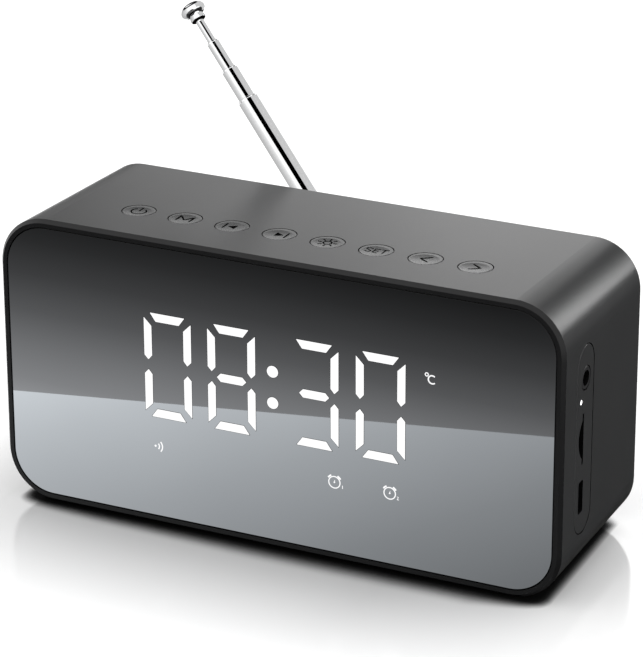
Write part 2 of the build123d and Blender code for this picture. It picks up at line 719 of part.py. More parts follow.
def make_speaker_basket(x):
    flange_y = COVER_Y - FLANGE_THICK
    with BuildPart() as basket:
        with BuildSketch(front_plane(flange_y)):
            with Locations((x, CENTER_Z)):
                RectangleRounded(FLANGE_SIZE, FLANGE_SIZE, 4)
        extrude(amount=-FLANGE_THICK)
        add(turned(x, [(0, flange_y - 11), (9, flange_y - 11), (18.4, flange_y), (0, flange_y)]))
        revolve(axis=speaker_axis(x))
        inner = [(0, flange_y - 10), (8.4, flange_y - 10), (16.4, flange_y), (17.3, flange_y)]
        inner += [(17.3, COVER_Y), (0, COVER_Y)]
        add(turned(x, inner))
        revolve(axis=speaker_axis(x), mode=Mode.SUBTRACT)
        coil_hole = [(0, flange_y - 12), (YOKE_RADIUS, flange_y - 12), (YOKE_RADIUS, flange_y - 9)]
        add(turned(x, coil_hole + [(0, flange_y - 9)]))
        revolve(axis=speaker_axis(x), mode=Mode.SUBTRACT)
        with BuildSketch(front_plane(COVER_Y)):
            with Locations(*flange_screw_spots(x)):
                Circle(BOARD_HOLE_RADIUS)
        extrude(amount=FLANGE_THICK, mode=Mode.SUBTRACT)
    return basket


def make_speaker_magnet(x):
    back = COVER_Y - FLANGE_THICK - 11
    with BuildPart() as magnet:
        ring = [(0, back - 6), (MAGNET_RADIUS, back - 6), (MAGNET_RADIUS, back)]
        ring += [(YOKE_RADIUS, back), (YOKE_RADIUS, back - 4.5), (0, back - 4.5)]
        add(turned(x, ring))
        revolve(axis=speaker_axis(x))
        pole = [(0, back - 4.6), (POLE_RADIUS, back - 4.6), (POLE_RADIUS, back + 0.6), (0, back + 0.6)]
        add(turned(x, pole))
        revolve(axis=speaker_axis(x))
    return magnet


def make_speaker_cone(x):
    """Paper cone with its dust cap and voice coil; it moves as one piece."""
    rim_y = COVER_Y - FLANGE_THICK
    neck_y = rim_y - 6
    with BuildPart() as cone:
        paper = [(4.6, neck_y), (5.2, neck_y - 0.2), (14.6, rim_y - 0.5), (14.6, rim_y), (14.2, rim_y)]
        add(turned(x, paper))
        revolve(axis=speaker_axis(x))
        add(turned(x, [(4.6, neck_y - 7.5), (5.2, neck_y - 7.5), (5.2, neck_y), (4.6, neck_y)]))
        revolve(axis=speaker_axis(x))
        cap = [(0, neck_y + 2.6), (2.4, neck_y + 2.2), (5.3, neck_y + 0.6)]
        cap += [(5.0, neck_y + 0.2), (2.3, neck_y + 1.7), (0, neck_y + 2.1)]
        add(turned(x, cap))
        revolve(axis=speaker_axis(x))
    return cone


def make_speaker_surround(x):
    """Half-roll rubber edge between the cone and the basket."""
    rim_y = COVER_Y - FLANGE_THICK
    middle = 16.0
    with BuildPart() as surround:
        with BuildSketch(Plane(origin=(x, 0, CENTER_Z), x_dir=(1, 0, 0), z_dir=(0, 0, 1))):
            with BuildLine():
                ThreePointArc((middle - 1.2, rim_y), (middle, rim_y + 1.2), (middle + 1.2, rim_y))
                Line((middle + 1.2, rim_y), (middle + 0.9, rim_y))
                ThreePointArc((middle + 0.9, rim_y), (middle, rim_y + 0.9), (middle - 0.9, rim_y))
                Line((middle - 0.9, rim_y), (middle - 1.2, rim_y))
            make_face()
        revolve(axis=speaker_axis(x))
    return surround


def make_speaker_screws():
    """Pan-head screws that hold both baskets to the rear cover."""
    head_y = COVER_Y - FLANGE_THICK
    spots = flange_screw_spots(-SPEAKER_X) + flange_screw_spots(SPEAKER_X)
    with BuildPart() as speaker_screws:
        with BuildSketch(front_plane(head_y)):
            with Locations(*spots):
                Circle(SCREW_HEAD_RADIUS)
        extrude(amount=SCREW_HEAD_THICK)
        with BuildSketch(front_plane(head_y)):
            with Locations(*spots):
                Circle(SPEAKER_SCREW_RADIUS)
        extrude(amount=-FLANGE_THICK - 1.2)
    return speaker_screws


def grille_holes():
    """Staggered rows of holes that fill the grille's middle."""
    rise = GRILLE_PITCH * math.sqrt(3) / 2
    rows = int(SPEAKER_WINDOW_RADIUS / rise)
    spots = []
    for row in range(-rows, rows + 1):
        shift = GRILLE_PITCH / 2 if row % 2 else 0
        for column in range(-8, 9):
            spot = (column * GRILLE_PITCH + shift, row * rise)
            if math.hypot(*spot) < SPEAKER_WINDOW_RADIUS - GRILLE_HOLE_RADIUS - 0.5:
                spots.append(spot)
    return spots


def make_speaker_grille(x):
    with BuildPart() as grille:
        with BuildSketch(front_plane(COVER_BACK_Y)):
            with Locations((x, CENTER_Z)):
                Circle(GRILLE_RADIUS)
            with Locations(*[(x + hx, CENTER_Z + hz) for hx, hz in grille_holes()]):
                Circle(GRILLE_HOLE_RADIUS, mode=Mode.SUBTRACT)
        extrude(amount=GRILLE_THICK)
    return grille


def make_rear_cover():
    """Inset back plate with two speaker windows and the bearing for the antenna."""
    inset = WALL + COVER_GAP
    spots = [(-SPEAKER_X, CENTER_Z), (SPEAKER_X, CENTER_Z)]
    screws = flange_screw_spots(-SPEAKER_X) + flange_screw_spots(SPEAKER_X)
    with BuildPart() as rear_cover:
        with BuildSketch(front_plane(COVER_Y)):
            shell_outline(shell_inset(BACK_Y) + inset)
        extrude(amount=-COVER_THICK)
        with BuildSketch(front_plane(COVER_BACK_Y)):
            with Locations(*spots):
                Circle(SPEAKER_WINDOW_RADIUS)
            with Locations((PIVOT.X, PIVOT.Z)):
                Circle(SWIVEL_SHAFT_RADIUS + 0.06)
            with Locations(*corner_posts()):
                Circle(1.3)
        extrude(amount=COVER_THICK, mode=Mode.SUBTRACT)
        with BuildSketch(front_plane(COVER_BACK_Y)):
            with Locations(*spots):
                Circle(GRILLE_RADIUS + 0.1)
        extrude(amount=GRILLE_THICK, mode=Mode.SUBTRACT)
        with BuildSketch(front_plane(COVER_BACK_Y)):
            with Locations(*corner_posts()):
                Circle(2.6)
        extrude(amount=1.0, mode=Mode.SUBTRACT)
        with BuildSketch(front_plane(COVER_Y)):
            with Locations(*screws):
                Circle(1.0)
        extrude(amount=-1.4, mode=Mode.SUBTRACT)
        # vent slots under the antenna bearing
        with BuildSketch(front_plane(COVER_BACK_Y)):
            with Locations((0, VENT_Z)):
                with GridLocations(VENT_PITCH, 1, VENT_COUNT, 1):
                    SlotOverall(*VENT_SIZE, rotation=90)
        extrude(amount=COVER_THICK, mode=Mode.SUBTRACT)
    return rear_cover


def make_rear_cover_screws():
    head_y = COVER_BACK_Y - 0.95
    with BuildPart() as rear_cover_screws:
        with BuildSketch(front_plane(head_y)):
            with Locations(*corner_posts()):
                Circle(COVER_SCREW_HEAD_RADIUS)
        extrude(amount=-COVER_SCREW_HEAD_THICK)
        with BuildSketch(front_plane(head_y)):
            with Locations(*corner_posts()):
                Circle(COVER_SCREW_RADIUS)
        extrude(amount=COVER_SCREW_LENGTH)
        # cross recess
        with BuildSketch(front_plane(head_y + COVER_SCREW_HEAD_THICK)):
            with Locations(*corner_posts()):
                Rectangle(2.4, 0.5)
                Rectangle(0.5, 2.4)
        extrude(amount=0.5, mode=Mode.SUBTRACT)
    return rear_cover_screws


def make_board_screws():
    """Screws for the main board, seen from the back, and for the button board, from below."""
    under = BUTTON_BOARD_TOP_Z - BUTTON_BOARD_THICK
    with BuildPart() as board_screws:
        with BuildSketch(front_plane(BOARD_BACK_Y)):
            with Locations(*BOARD_POSTS):
                Circle(SCREW_HEAD_RADIUS)
        extrude(amount=-SCREW_HEAD_THICK)
        with BuildSketch(front_plane(BOARD_BACK_Y)):
            with Locations(*BOARD_POSTS):
                Circle(BOARD_SCREW_RADIUS)
        extrude(amount=BOARD_THICK + BOARD_SCREW_GRIP)
        with BuildSketch(Plane.XY.offset(under)):
            with Locations(*BUTTON_POSTS):
                Circle(SCREW_HEAD_RADIUS)
        extrude(amount=-SCREW_HEAD_THICK)
        with BuildSketch(Plane.XY.offset(under)):
            with Locations(*BUTTON_POSTS):
                Circle(BOARD_SCREW_RADIUS)
        extrude(amount=BUTTON_BOARD_THICK + BOARD_SCREW_GRIP)
    return board_screws


def make_battery_tray():
    length = BATTERY_SIZE[0] + 2 * TRAY_RIM
    width = BATTERY_SIZE[1] + 2 * TRAY_RIM
    with BuildPart() as battery_tray:
        with BuildSketch(Plane.XY.offset(TRAY_Z)):
            with Locations((0, BATTERY_Y)):
                RectangleRounded(length, width, 2)
        extrude(amount=TRAY_THICK + TRAY_WALL_HEIGHT)
        with BuildSketch(Plane.XY.offset(TRAY_Z + TRAY_THICK)):
            with Locations((0, BATTERY_Y)):
                RectangleRounded(length - 2 * TRAY_WALL, width - 2 * TRAY_WALL, 1)
        extrude(amount=TRAY_WALL_HEIGHT, mode=Mode.SUBTRACT)
    return battery_tray


def make_battery_cell():
    with BuildPart() as battery_cell:
        with BuildSketch(Plane.XY.offset(TRAY_Z + TRAY_THICK)):
            with Locations((0, BATTERY_Y)):
                RectangleRounded(BATTERY_SIZE[0], BATTERY_SIZE[1], 1.5)
        extrude(amount=BATTERY_SIZE[2])
        lid_edges = battery_cell.faces().sort_by(Axis.Z)[-1].edges()
        fillet(lid_edges, radius=1.2)
    return battery_cell


# =============================================================================================
# Wiring
# =============================================================================================
def wire(points):
    """Insulated wire along a route, its corners rounded as far as the runs allow."""
    radii = []
    for before, corner, after in zip(points, points[1:], points[2:]):
        turn = (Vector(*corner) - Vector(*before)).get_angle(Vector(*after) - Vector(*corner))
        shorter = min((Vector(*corner) - Vector(*before)).length, (Vector(*after) - Vector(*corner)).length)
        radii.append(0.45 * shorter / math.tan(math.radians(turn) / 2))
    with BuildPart() as lead:
        with BuildLine() as route:
            FilletPolyline(*points, radius=radii)
        with BuildSketch(Plane(origin=points[0], z_dir=route.line % 0)):
            Circle(WIRE_RADIUS)
        sweep()
    return lead.part


def make_speaker_wires():
    """Red and black pair from the amplifier to each basket."""
    end_y = COVER_Y - FLANGE_THICK
    with BuildPart() as speaker_wires:
        for side in (-1, 1):
            for strand in (0, 1):
                z = BASE_Z + 40.0 + 3.0 * strand
                points = [
                    (side * 12, BOARD_BACK_Y, z),
                    (side * 12, BOARD_BACK_Y + 8, z),
                    (side * 19, BOARD_BACK_Y + 20.5, z + 0.5),
                    (side * 19, end_y, z + 0.5),
                ]
                add(wire(points))
    return speaker_wires


def make_battery_wires():
    with BuildPart() as battery_wires:
        for x in (-4.0, 4.0):
            front = BATTERY_Y - BATTERY_SIZE[1] / 2
            z = TRAY_Z + TRAY_THICK + 4.6
            points = [
                (x, front, z),
                (x, front - 2.4, z),
                (x, BOARD_BACK_Y + 2.4, z + 6),
                (x, BOARD_BACK_Y, z + 6),
            ]
            add(wire(points))
    return battery_wires


def make_antenna_wire():
    """Single wire from the antenna's bearing to the tuner."""
    start_y = COVER_Y - 2.9
    points = [
        (0, start_y, PIVOT.Z),
        (0, start_y - 7, PIVOT.Z - 1.5),
        (-3, BOARD_BACK_Y + 12, PIVOT.Z - 1),
        (-5, BOARD_BACK_Y + 5, PIVOT.Z - 3),
        (-5, BOARD_BACK_Y, PIVOT.Z - 3),
    ]
    with BuildPart() as antenna_wire:
        add(wire(points))
    return antenna_wire


# =============================================================================================
# Antenna
# =============================================================================================
def antenna_directions():
    """Lean direction in the back's plane, the antenna's own axis, and the elbow pin's axis."""
    lean = math.radians(LEAN)
    tilt = math.radians(TILT)
    in_plane = Vector(-math.sin(lean), 0, math.cos(lean))
    along = in_plane * math.cos(tilt) + Vector(0, 1, 0) * math.sin(tilt)
    pin = Vector(-math.cos(lean), 0, -math.sin(lean))
    return in_plane, along, pin


IN_PLANE, ALONG, PIN_AXIS = antenna_directions()


def antenna_profile(points):
    """Turned solid on the antenna's axis, from (radius, distance from the pin) points."""
    plane = Plane(origin=PIVOT, x_dir=PIN_AXIS, z_dir=PIN_AXIS.cross(ALONG))
    with BuildPart() as turned_part:
        with BuildSketch(plane):
            with BuildLine():
                Polyline(*points, close=True)
            make_face()
        revolve(axis=Axis(PIVOT, ALONG))
    return turned_part.part


def rounded_mouth(outer, mouth, end):
    """Points of a rolled tube end, from the outside to the mouth."""
    drop = outer - mouth - 0.05
    length = 0.75
    steps = 6
    points = []
    for step in range(steps + 1):
        angle = math.pi / 2 * step / steps
        points.append((outer - drop + drop * math.cos(angle), end - length + length * math.sin(angle)))
    points.append((mouth, end))
    return points


def make_antenna_tube(index):
    """Tube with a rolled-in mouth; the inner tubes also have a flared foot."""
    outer, bore, mouth = TUBE_RADII[index]
    start = TUBE_STARTS[index]
    end = TUBE_ENDS[index]
    lip = 1.2
    inside = [(mouth, end - lip), (bore, end - lip - 0.4), (bore, start)]
    if index == 0:
        foot = [(outer, start)]
    else:
        flare = TUBE_RADII[index - 1][1] - 0.06
        foot = [(flare, start), (flare, start + FLARE_LENGTH), (outer, start + FLARE_LENGTH + 0.4)]
    with BuildPart() as tube:
        add(antenna_profile(foot + rounded_mouth(outer, mouth, end) + inside))
    return tube


def make_antenna_rod():
    flare = TUBE_RADII[2][1] - 0.06
    end = KNOB_START + 2.0
    points = [
        (0, ROD_START),
        (flare, ROD_START),
        (flare, ROD_START + FLARE_LENGTH),
        (ROD_RADIUS, ROD_START + FLARE_LENGTH + 0.4),
        (ROD_RADIUS, end),
        (0, end),
    ]
    with BuildPart() as rod:
        add(antenna_profile(points))
    return rod


def make_antenna_knob():
    """Mushroom tip with a small collar, pressed onto the rod."""
    start = KNOB_START
    dome_start = start + KNOB_LENGTH - DOME_HEIGHT
    points = [(ROD_RADIUS, start + 0.25), (COLLAR_RADIUS - 0.3, start), (COLLAR_RADIUS, start + 0.3)]
    points += [(COLLAR_RADIUS, start + 0.75), (COLLAR_RADIUS - 0.25, dome_start - 0.1)]
    steps = 12
    for step in range(steps + 1):
        angle = math.radians(-52) + math.radians(142) * step / steps
        radius = KNOB_RADIUS * math.cos(angle)
        height = dome_start + DOME_HEIGHT * (math.sin(angle) + 0.79) / 1.79
        points.append((max(radius, 0.0), height))
    points += [(0, start + 2.0), (ROD_RADIUS, start + 2.0)]
    with BuildPart() as knob:
        add(antenna_profile(points))
    return knob


def make_antenna_foot():
    """Flat tang for the elbow with a round plug that closes the outer tube."""
    collar_start = 4.0
    collar_radius = TUBE_RADII[0][0]
    points = [(0, collar_start), (collar_radius, collar_start), (collar_radius, TUBE_STARTS[0])]
    points += [(PLUG_RADIUS, TUBE_STARTS[0]), (PLUG_RADIUS, PLUG_END), (0, PLUG_END)]
    with BuildPart() as foot:
        add(antenna_profile(points))
        tang = Plane(origin=PIVOT - PIN_AXIS * (TANG_THICK / 2), x_dir=ALONG, z_dir=PIN_AXIS)
        with BuildSketch(tang):
            Circle(2.1)
            with Locations((2.2, 0)):
                Rectangle(4.4, 4.2)
        extrude(amount=TANG_THICK)
        with BuildSketch(tang):
            Circle(PIN_RADIUS + 0.05)
        extrude(amount=TANG_THICK, mode=Mode.SUBTRACT)
    return foot


def make_antenna_swivel():
    """Turntable on the rear cover with the two ears that hold the elbow pin."""
    disc_y = COVER_BACK_Y + SWIVEL_LIFT
    with BuildPart() as swivel:
        with BuildSketch(front_plane(disc_y)):
            with Locations((PIVOT.X, PIVOT.Z)):
                Circle(SWIVEL_RADIUS)
        extrude(amount=-SWIVEL_THICK)
        rim = swivel.faces().sort_by(Axis.Y)[-1].edges()
        fillet(rim, radius=0.5)
        with BuildSketch(front_plane(disc_y)):
            with Locations((PIVOT.X, PIVOT.Z)):
                Circle(SWIVEL_SHAFT_RADIUS)
        extrude(amount=disc_y - COVER_Y + 0.1)
        height = PIVOT.Y - disc_y - SWIVEL_THICK / 2
        for start in (EAR_GAP / 2, -EAR_GAP / 2 - EAR_THICK):
            ear = Plane(origin=PIVOT + PIN_AXIS * start, x_dir=IN_PLANE, z_dir=PIN_AXIS)
            with BuildSketch(ear):
                Circle(EAR_RADIUS)
                with Locations((0, -height / 2)):
                    Rectangle(2 * EAR_RADIUS, height)
            extrude(amount=EAR_THICK)
            with BuildSketch(ear):
                Circle(PIN_RADIUS + 0.01)
            extrude(amount=EAR_THICK, mode=Mode.SUBTRACT)
        with BuildSketch(front_plane(COVER_Y - 0.1)):
            with Locations((PIVOT.X, PIVOT.Z)):
                Circle(1.0)
        extrude(amount=-2.2, mode=Mode.SUBTRACT)
    return swivel


def make_elbow_pin():
    """Rivet through both ears, with a low head at each end."""
    half = EAR_GAP / 2 + EAR_THICK
    with BuildPart() as elbow_pin:
        with BuildSketch(Plane(origin=PIVOT - PIN_AXIS * half, z_dir=PIN_AXIS)):
            Circle(PIN_RADIUS)
        extrude(amount=2 * half)
        for sign in (-1, 1):
            with BuildSketch(Plane(origin=PIVOT + PIN_AXIS * (sign * half), z_dir=PIN_AXIS * sign)):
                Circle(1.55)
            extrude(amount=0.45)
            head_rim = elbow_pin.faces().sort_by(Axis(PIVOT, PIN_AXIS * sign))[-1].edges()
            fillet(head_rim, radius=0.3)
    return elbow_pin


def make_swivel_washer():
    with BuildPart() as swivel_washer:
        with BuildSketch(front_plane(COVER_Y - 0.1)):
            with Locations((PIVOT.X, PIVOT.Z)):
                Circle(WASHER_RADIUS)
                Circle(SWIVEL_SCREW_RADIUS + 0.2, mode=Mode.SUBTRACT)
        extrude(amount=WASHER_THICK)
    return swivel_washer


def make_swivel_screw():
    head_y = COVER_Y - WASHER_THICK - 0.1
    with BuildPart() as swivel_screw:
        with BuildSketch(front_plane(head_y)):
            with Locations((PIVOT.X, PIVOT.Z)):
                Circle(2.2)
        extrude(amount=1.5)
        with BuildSketch(front_plane(head_y)):
            with Locations((PIVOT.X, PIVOT.Z)):
                Circle(SWIVEL_SCREW_RADIUS)
        extrude(amount=-2.6)
    return swivel_screw


# =============================================================================================
os.makedirs("parts", exist_ok=True)
save(make_housing_sleeve(), "housing_sleeve")
save(make_rubber_feet(), "rubber_feet")
save(make_front_bezel(), "front_bezel")
save(make_mirror_panel(), "mirror_panel")
save(make_mirror_tape(), "mirror_tape")
save(make_display_light_box(), "display_light_box")
save(make_segment_windows(), "segment_windows")
save(make_display_board(), "display_board")
save(make_display_leds(), "display_leds")
save(make_display_header(), "display_header")
for number, name in enumerate(BUTTON_NAMES):
    save(make_button(number), f"{name}_button")
save(make_button_board(), "button_board")
save(make_button_switches(), "button_switches")
save(make_button_ribbon(), "button_ribbon")
save(make_main_board(), "main_board")
save(make_main_board_chips(), "main_board_chips")
save(make_port_panel(), "port_panel")
save(make_aux_jack(), "aux_jack")
save(make_usb_socket(), "usb_socket")
save(make_card_socket(), "card_socket")
save(make_status_light(), "status_light")
for side, place in (("left", -SPEAKER_X), ("right", SPEAKER_X)):
    save(make_speaker_basket(place), f"{side}_speaker_basket")
    save(make_speaker_magnet(place), f"{side}_speaker_magnet")
    save(make_speaker_cone(place), f"{side}_speaker_cone")
    save(make_speaker_surround(place), f"{side}_speaker_surround")
    save(make_speaker_grille(place), f"{side}_speaker_grille")
save(make_speaker_screws(), "speaker_screws")
save(make_rear_cover(), "rear_cover")
save(make_rear_cover_screws(), "rear_cover_screws")
save(make_board_screws(), "board_screws")
save(make_battery_tray(), "battery_tray")
save(make_battery_cell(), "battery_cell")
save(make_speaker_wires(), "speaker_wires")
save(make_battery_wires(), "battery_wires")
save(make_antenna_wire(), "antenna_wire")
save(make_antenna_swivel(), "antenna_swivel")
save(make_swivel_washer(), "swivel_washer")
save(make_swivel_screw(), "swivel_screw")
save(make_elbow_pin(), "elbow_pin")
save(make_antenna_foot(), "antenna_foot")
for number, name in enumerate(("outer", "second", "third")):
    save(make_antenna_tube(number), f"antenna_{name}_tube")
save(make_antenna_rod(), "antenna_rod")
save(make_antenna_knob(), "antenna_knob")
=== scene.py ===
"""Looks of the clock radio: materials, display, key legends, polished antenna and studio."""
import json
import math

import bmesh
import bpy
from mathutils import Matrix, Vector


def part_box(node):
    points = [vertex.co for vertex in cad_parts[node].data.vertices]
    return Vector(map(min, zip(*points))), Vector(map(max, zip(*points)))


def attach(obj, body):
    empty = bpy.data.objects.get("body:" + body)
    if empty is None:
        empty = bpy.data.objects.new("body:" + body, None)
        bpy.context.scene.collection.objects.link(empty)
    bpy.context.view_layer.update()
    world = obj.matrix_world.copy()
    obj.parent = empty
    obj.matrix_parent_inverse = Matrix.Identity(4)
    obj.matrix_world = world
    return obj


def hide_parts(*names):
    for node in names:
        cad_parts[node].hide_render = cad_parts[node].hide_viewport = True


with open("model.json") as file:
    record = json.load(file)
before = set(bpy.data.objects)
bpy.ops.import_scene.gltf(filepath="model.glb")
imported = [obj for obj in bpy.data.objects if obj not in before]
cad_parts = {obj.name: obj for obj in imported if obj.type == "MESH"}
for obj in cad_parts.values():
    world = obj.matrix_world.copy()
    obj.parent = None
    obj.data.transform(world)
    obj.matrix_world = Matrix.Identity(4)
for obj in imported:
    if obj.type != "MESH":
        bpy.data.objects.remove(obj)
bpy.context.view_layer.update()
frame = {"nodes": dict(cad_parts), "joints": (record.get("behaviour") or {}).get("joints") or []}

MM = 0.001
NODES = frame["nodes"]
JOINTS = {joint["name"]: joint for joint in frame["joints"]}

# --- places read from the frame ---------------------------------------------------------------
SLEEVE_LOW, SLEEVE_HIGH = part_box("housing_sleeve")
BEZEL_LOW, BEZEL_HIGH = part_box("front_bezel")
MIRROR_LOW, MIRROR_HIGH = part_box("mirror_panel")
BODY_MIDDLE = Vector((0, (BEZEL_LOW.y + SLEEVE_HIGH.y) / 2, (BEZEL_LOW.z + BEZEL_HIGH.z) / 2))
BASE_Z = BEZEL_LOW.z


# =============================================================================================
# Helpers
# =============================================================================================
def link(obj):
    bpy.context.scene.collection.objects.link(obj)
    return obj


def mesh_object(name, verts, faces):
    """Flat-shaded mesh from its points and faces."""
    mesh = bpy.data.meshes.new(name)
    mesh.from_pydata([tuple(v) for v in verts], [], faces)
    mesh.validate()
    mesh.update()
    return link(bpy.data.objects.new(name, mesh))


def dress(obj, material):
    """Give an object one material in all its slots."""
    obj.data.materials.clear()
    obj.data.materials.append(material)
    for polygon in obj.data.polygons:
        polygon.material_index = 0


def smooth_by_angle(obj, degrees=30):
    """Smooth shading with hard edges kept: only flags on faces and edges are set."""
    mesh = obj.data
    bm = bmesh.new()
    bm.from_mesh(mesh)
    limit = math.radians(degrees)
    sharp = [not (len(edge.link_faces) == 2 and edge.calc_face_angle(0) < limit) for edge in bm.edges]
    bm.free()
    mesh.polygons.foreach_set("use_smooth", [True] * len(mesh.polygons))
    for edge, hard in zip(mesh.edges, sharp):
        edge.use_edge_sharp = hard


# =============================================================================================
# Materials
# =============================================================================================
class Nodes:
    """Small builder for a material's node tree."""

    def __init__(self, name):
        self.material = bpy.data.materials.new(name)
        self.material.use_nodes = True
        self.tree = self.material.node_tree
        self.shader = self.tree.nodes["Principled BSDF"]

    def add(self, kind, **values):
        node = self.tree.nodes.new(kind)
        for key, value in values.items():
            if key in node.inputs:
                node.inputs[key].default_value = value
            else:
                setattr(node, key, value)
        return node

    def wire(self, source, target):
        self.tree.links.new(source, target)

    def position(self):
        """Object coordinates: the same metres as the frame."""
        return self.add("ShaderNodeTexCoord").outputs["Object"]

    def noise(self, scale, detail):
        """Noise with this many cells per metre."""
        node = self.add("ShaderNodeTexNoise")
        node.inputs["Scale"].default_value = scale
        node.inputs["Detail"].default_value = detail
        self.wire(self.position(), node.inputs["Vector"])
        return node.outputs["Fac"]

    def ramp(self, factor, stops):
        """Colour of a 0 to 1 factor, from (place, colour) stops."""
        node = self.add("ShaderNodeValToRGB")
        elements = node.color_ramp.elements
        while len(elements) < len(stops):
            elements.new(0.5)
        for element, (place, colour) in zip(elements, stops):
            element.position = place
            element.color = (*colour, 1)
        self.wire(factor, node.inputs["Fac"])
        return node.outputs["Color"]

    def spread(self, factor, low, high):
        """Map a 0 to 1 factor to low..high."""
        node = self.add("ShaderNodeMapRange")
        node.inputs["To Min"].default_value = low
        node.inputs["To Max"].default_value = high
        self.wire(factor, node.inputs["Value"])
        return node.outputs["Result"]

    def between(self, value, start, end):
        """Map start..end to a 0 to 1 factor."""
        node = self.add("ShaderNodeMapRange")
        node.inputs["From Min"].default_value = start
        node.inputs["From Max"].default_value = end
        self.wire(value, node.inputs["Value"])
        return node.outputs["Result"]

    def times(self, value, factor):
        """Product of an output and a number."""
        node = self.add("ShaderNodeMath", operation="MULTIPLY")
        self.wire(value, node.inputs[0])
        node.inputs[1].default_value = factor
        return node.outputs["Value"]

    def product(self, first, second):
        """Product of two outputs."""
        node = self.add("ShaderNodeMath", operation="MULTIPLY")
        self.wire(first, node.inputs[0])
        self.wire(second, node.inputs[1])
        return node.outputs["Value"]

    def blend(self, first, second):
        """Product of two colours."""
        node = self.add("ShaderNodeMix", data_type="RGBA", blend_type="MULTIPLY")
        node.inputs[0].default_value = 1.0
        self.wire(first, node.inputs[6])
        self.wire(second, node.inputs[7])
        return node.outputs[2]

    def bump(self, factor, strength, distance):
        node = self.add("ShaderNodeBump")
        node.inputs["Strength"].default_value = strength
        node.inputs["Distance"].default_value = distance
        self.wire(factor, node.inputs["Height"])
        self.wire(node.outputs["Normal"], self.shader.inputs["Normal"])

    def set(self, **values):
        """Values of the shader's own sockets, with _ for each space in a name."""
        for key, value in values.items():
            self.shader.inputs[key.replace("_", " ")].default_value = value


def tinted(colour, amount):
    return tuple(min(1.0, c * amount) for c in colour)


COLOUR_DRIFT = 0.06     # how far a plastic's colour wanders, as a share
GLOSS_DRIFT = 0.03      # how far its roughness wanders


def moulded(name, colour, roughness, grain_mm=0.35, grain=0.15, specular=0.5):
    """Moulded plastic: fine spark-eroded grain, slow colour drift and uneven gloss."""
    nodes = Nodes(name)
    drift = nodes.noise(60, detail=4)
    darker, lighter = tinted(colour, 1 - COLOUR_DRIFT), tinted(colour, 1 + COLOUR_DRIFT)
    base = nodes.ramp(drift, [(0.3, darker), (0.7, lighter)])
    nodes.wire(base, nodes.shader.inputs["Base Color"])
    fine = nodes.noise(1 / (grain_mm * MM), detail=2)
    gloss = nodes.spread(fine, roughness - GLOSS_DRIFT, roughness + GLOSS_DRIFT)
    nodes.wire(gloss, nodes.shader.inputs["Roughness"])
    nodes.bump(fine, grain, 0.02 * MM)
    nodes.set(Specular_IOR_Level=specular)
    return nodes.material


def metal(name, colour, roughness, streak=False):
    """Bare or plated metal with faint polishing marks, deeper where it is streaked."""
    nodes = Nodes(name)
    marks = nodes.noise(1 / (0.5 * MM), detail=5)
    base = nodes.ramp(marks, [(0.35, tinted(colour, 0.96)), (0.65, tinted(colour, 1.03))])
    nodes.wire(base, nodes.shader.inputs["Base Color"])
    spread = 0.5 * roughness if streak else 0.25 * roughness
    gloss = nodes.spread(marks, roughness - spread, roughness + spread)
    nodes.wire(gloss, nodes.shader.inputs["Roughness"])
    nodes.bump(marks, 0.03, 0.004 * MM)
    nodes.set(Metallic=1.0)
    return nodes.material


def glowing(name, colour, strength):
    """Lit diffuser: even light with a faint cloudiness."""
    nodes = Nodes(name)
    cloud = nodes.noise(900, detail=2)
    tint = nodes.ramp(cloud, [(0.2, tinted(colour, 0.97)), (0.8, colour)])
    nodes.wire(tint, nodes.shader.inputs["Emission Color"])
    nodes.set(Emission_Strength=strength)
    nodes.set(Base_Color=(0.02, 0.02, 0.02, 1), Roughness=0.4, Specular_IOR_Level=0.1)
    return nodes.material


SHELL_PLASTIC = moulded("shell_plastic", (0.030, 0.0305, 0.031), 0.30, grain_mm=0.28, grain=0.06)
BEZEL_BLACK = (0.006, 0.006, 0.0063)
BEZEL_PLASTIC = moulded("bezel_plastic", BEZEL_BLACK, 0.36, grain_mm=0.4, grain=0.05, specular=0.25)
KEY_PLASTIC = moulded("key_plastic", (0.034, 0.0345, 0.035), 0.26, grain_mm=0.25, grain=0.05)
PANEL_PLASTIC = moulded("port_panel_plastic", (0.030, 0.0305, 0.031), 0.34, grain_mm=0.3, grain=0.08)
BLACK_PLASTIC = moulded("black_plastic", (0.018, 0.018, 0.019), 0.5, grain_mm=0.3, grain=0.25)
LEGEND_INK = moulded("legend_ink", (0.003, 0.003, 0.003), 0.9, grain=0.02, specular=0.0)
RUBBER = moulded("rubber", (0.02, 0.02, 0.02), 0.75, grain_mm=0.6, grain=0.4)
CHROME = metal("polished_chrome", (0.93, 0.935, 0.94), 0.03)
PLATED = metal("plated_steel", (0.75, 0.75, 0.76), 0.18)
SOCKET_STEEL = metal("socket_steel", (0.012, 0.012, 0.0125), 0.3)
SCREW_STEEL = metal("screw_steel", (0.22, 0.22, 0.23), 0.35, streak=True)
GRILLE_PAINT = moulded("grille_paint", (0.02, 0.02, 0.021), 0.45, grain_mm=0.2, grain=0.3)
CONE_PAPER = moulded("cone_paper", (0.03, 0.03, 0.031), 0.7, grain_mm=0.8, grain=0.6)
BASKET_PAINT = moulded("basket_paint", (0.03, 0.03, 0.032), 0.4)
MAGNET_PLATE = metal("magnet_plate", (0.3, 0.3, 0.31), 0.4)
BOARD_GREEN = moulded("solder_resist", (0.01, 0.08, 0.03), 0.3, grain_mm=1.2, grain=0.1)
CHIP_EPOXY = moulded("chip_epoxy", (0.02, 0.02, 0.022), 0.55)
POUCH = metal("battery_pouch", (0.55, 0.57, 0.6), 0.35)
WIRE_RED = moulded("wire_insulation", (0.3, 0.02, 0.02), 0.45)
RIBBON_WHITE = moulded("ribbon_film", (0.6, 0.6, 0.57), 0.4)
MILKY = moulded("milky_diffuser", (0.8, 0.81, 0.83), 0.4)
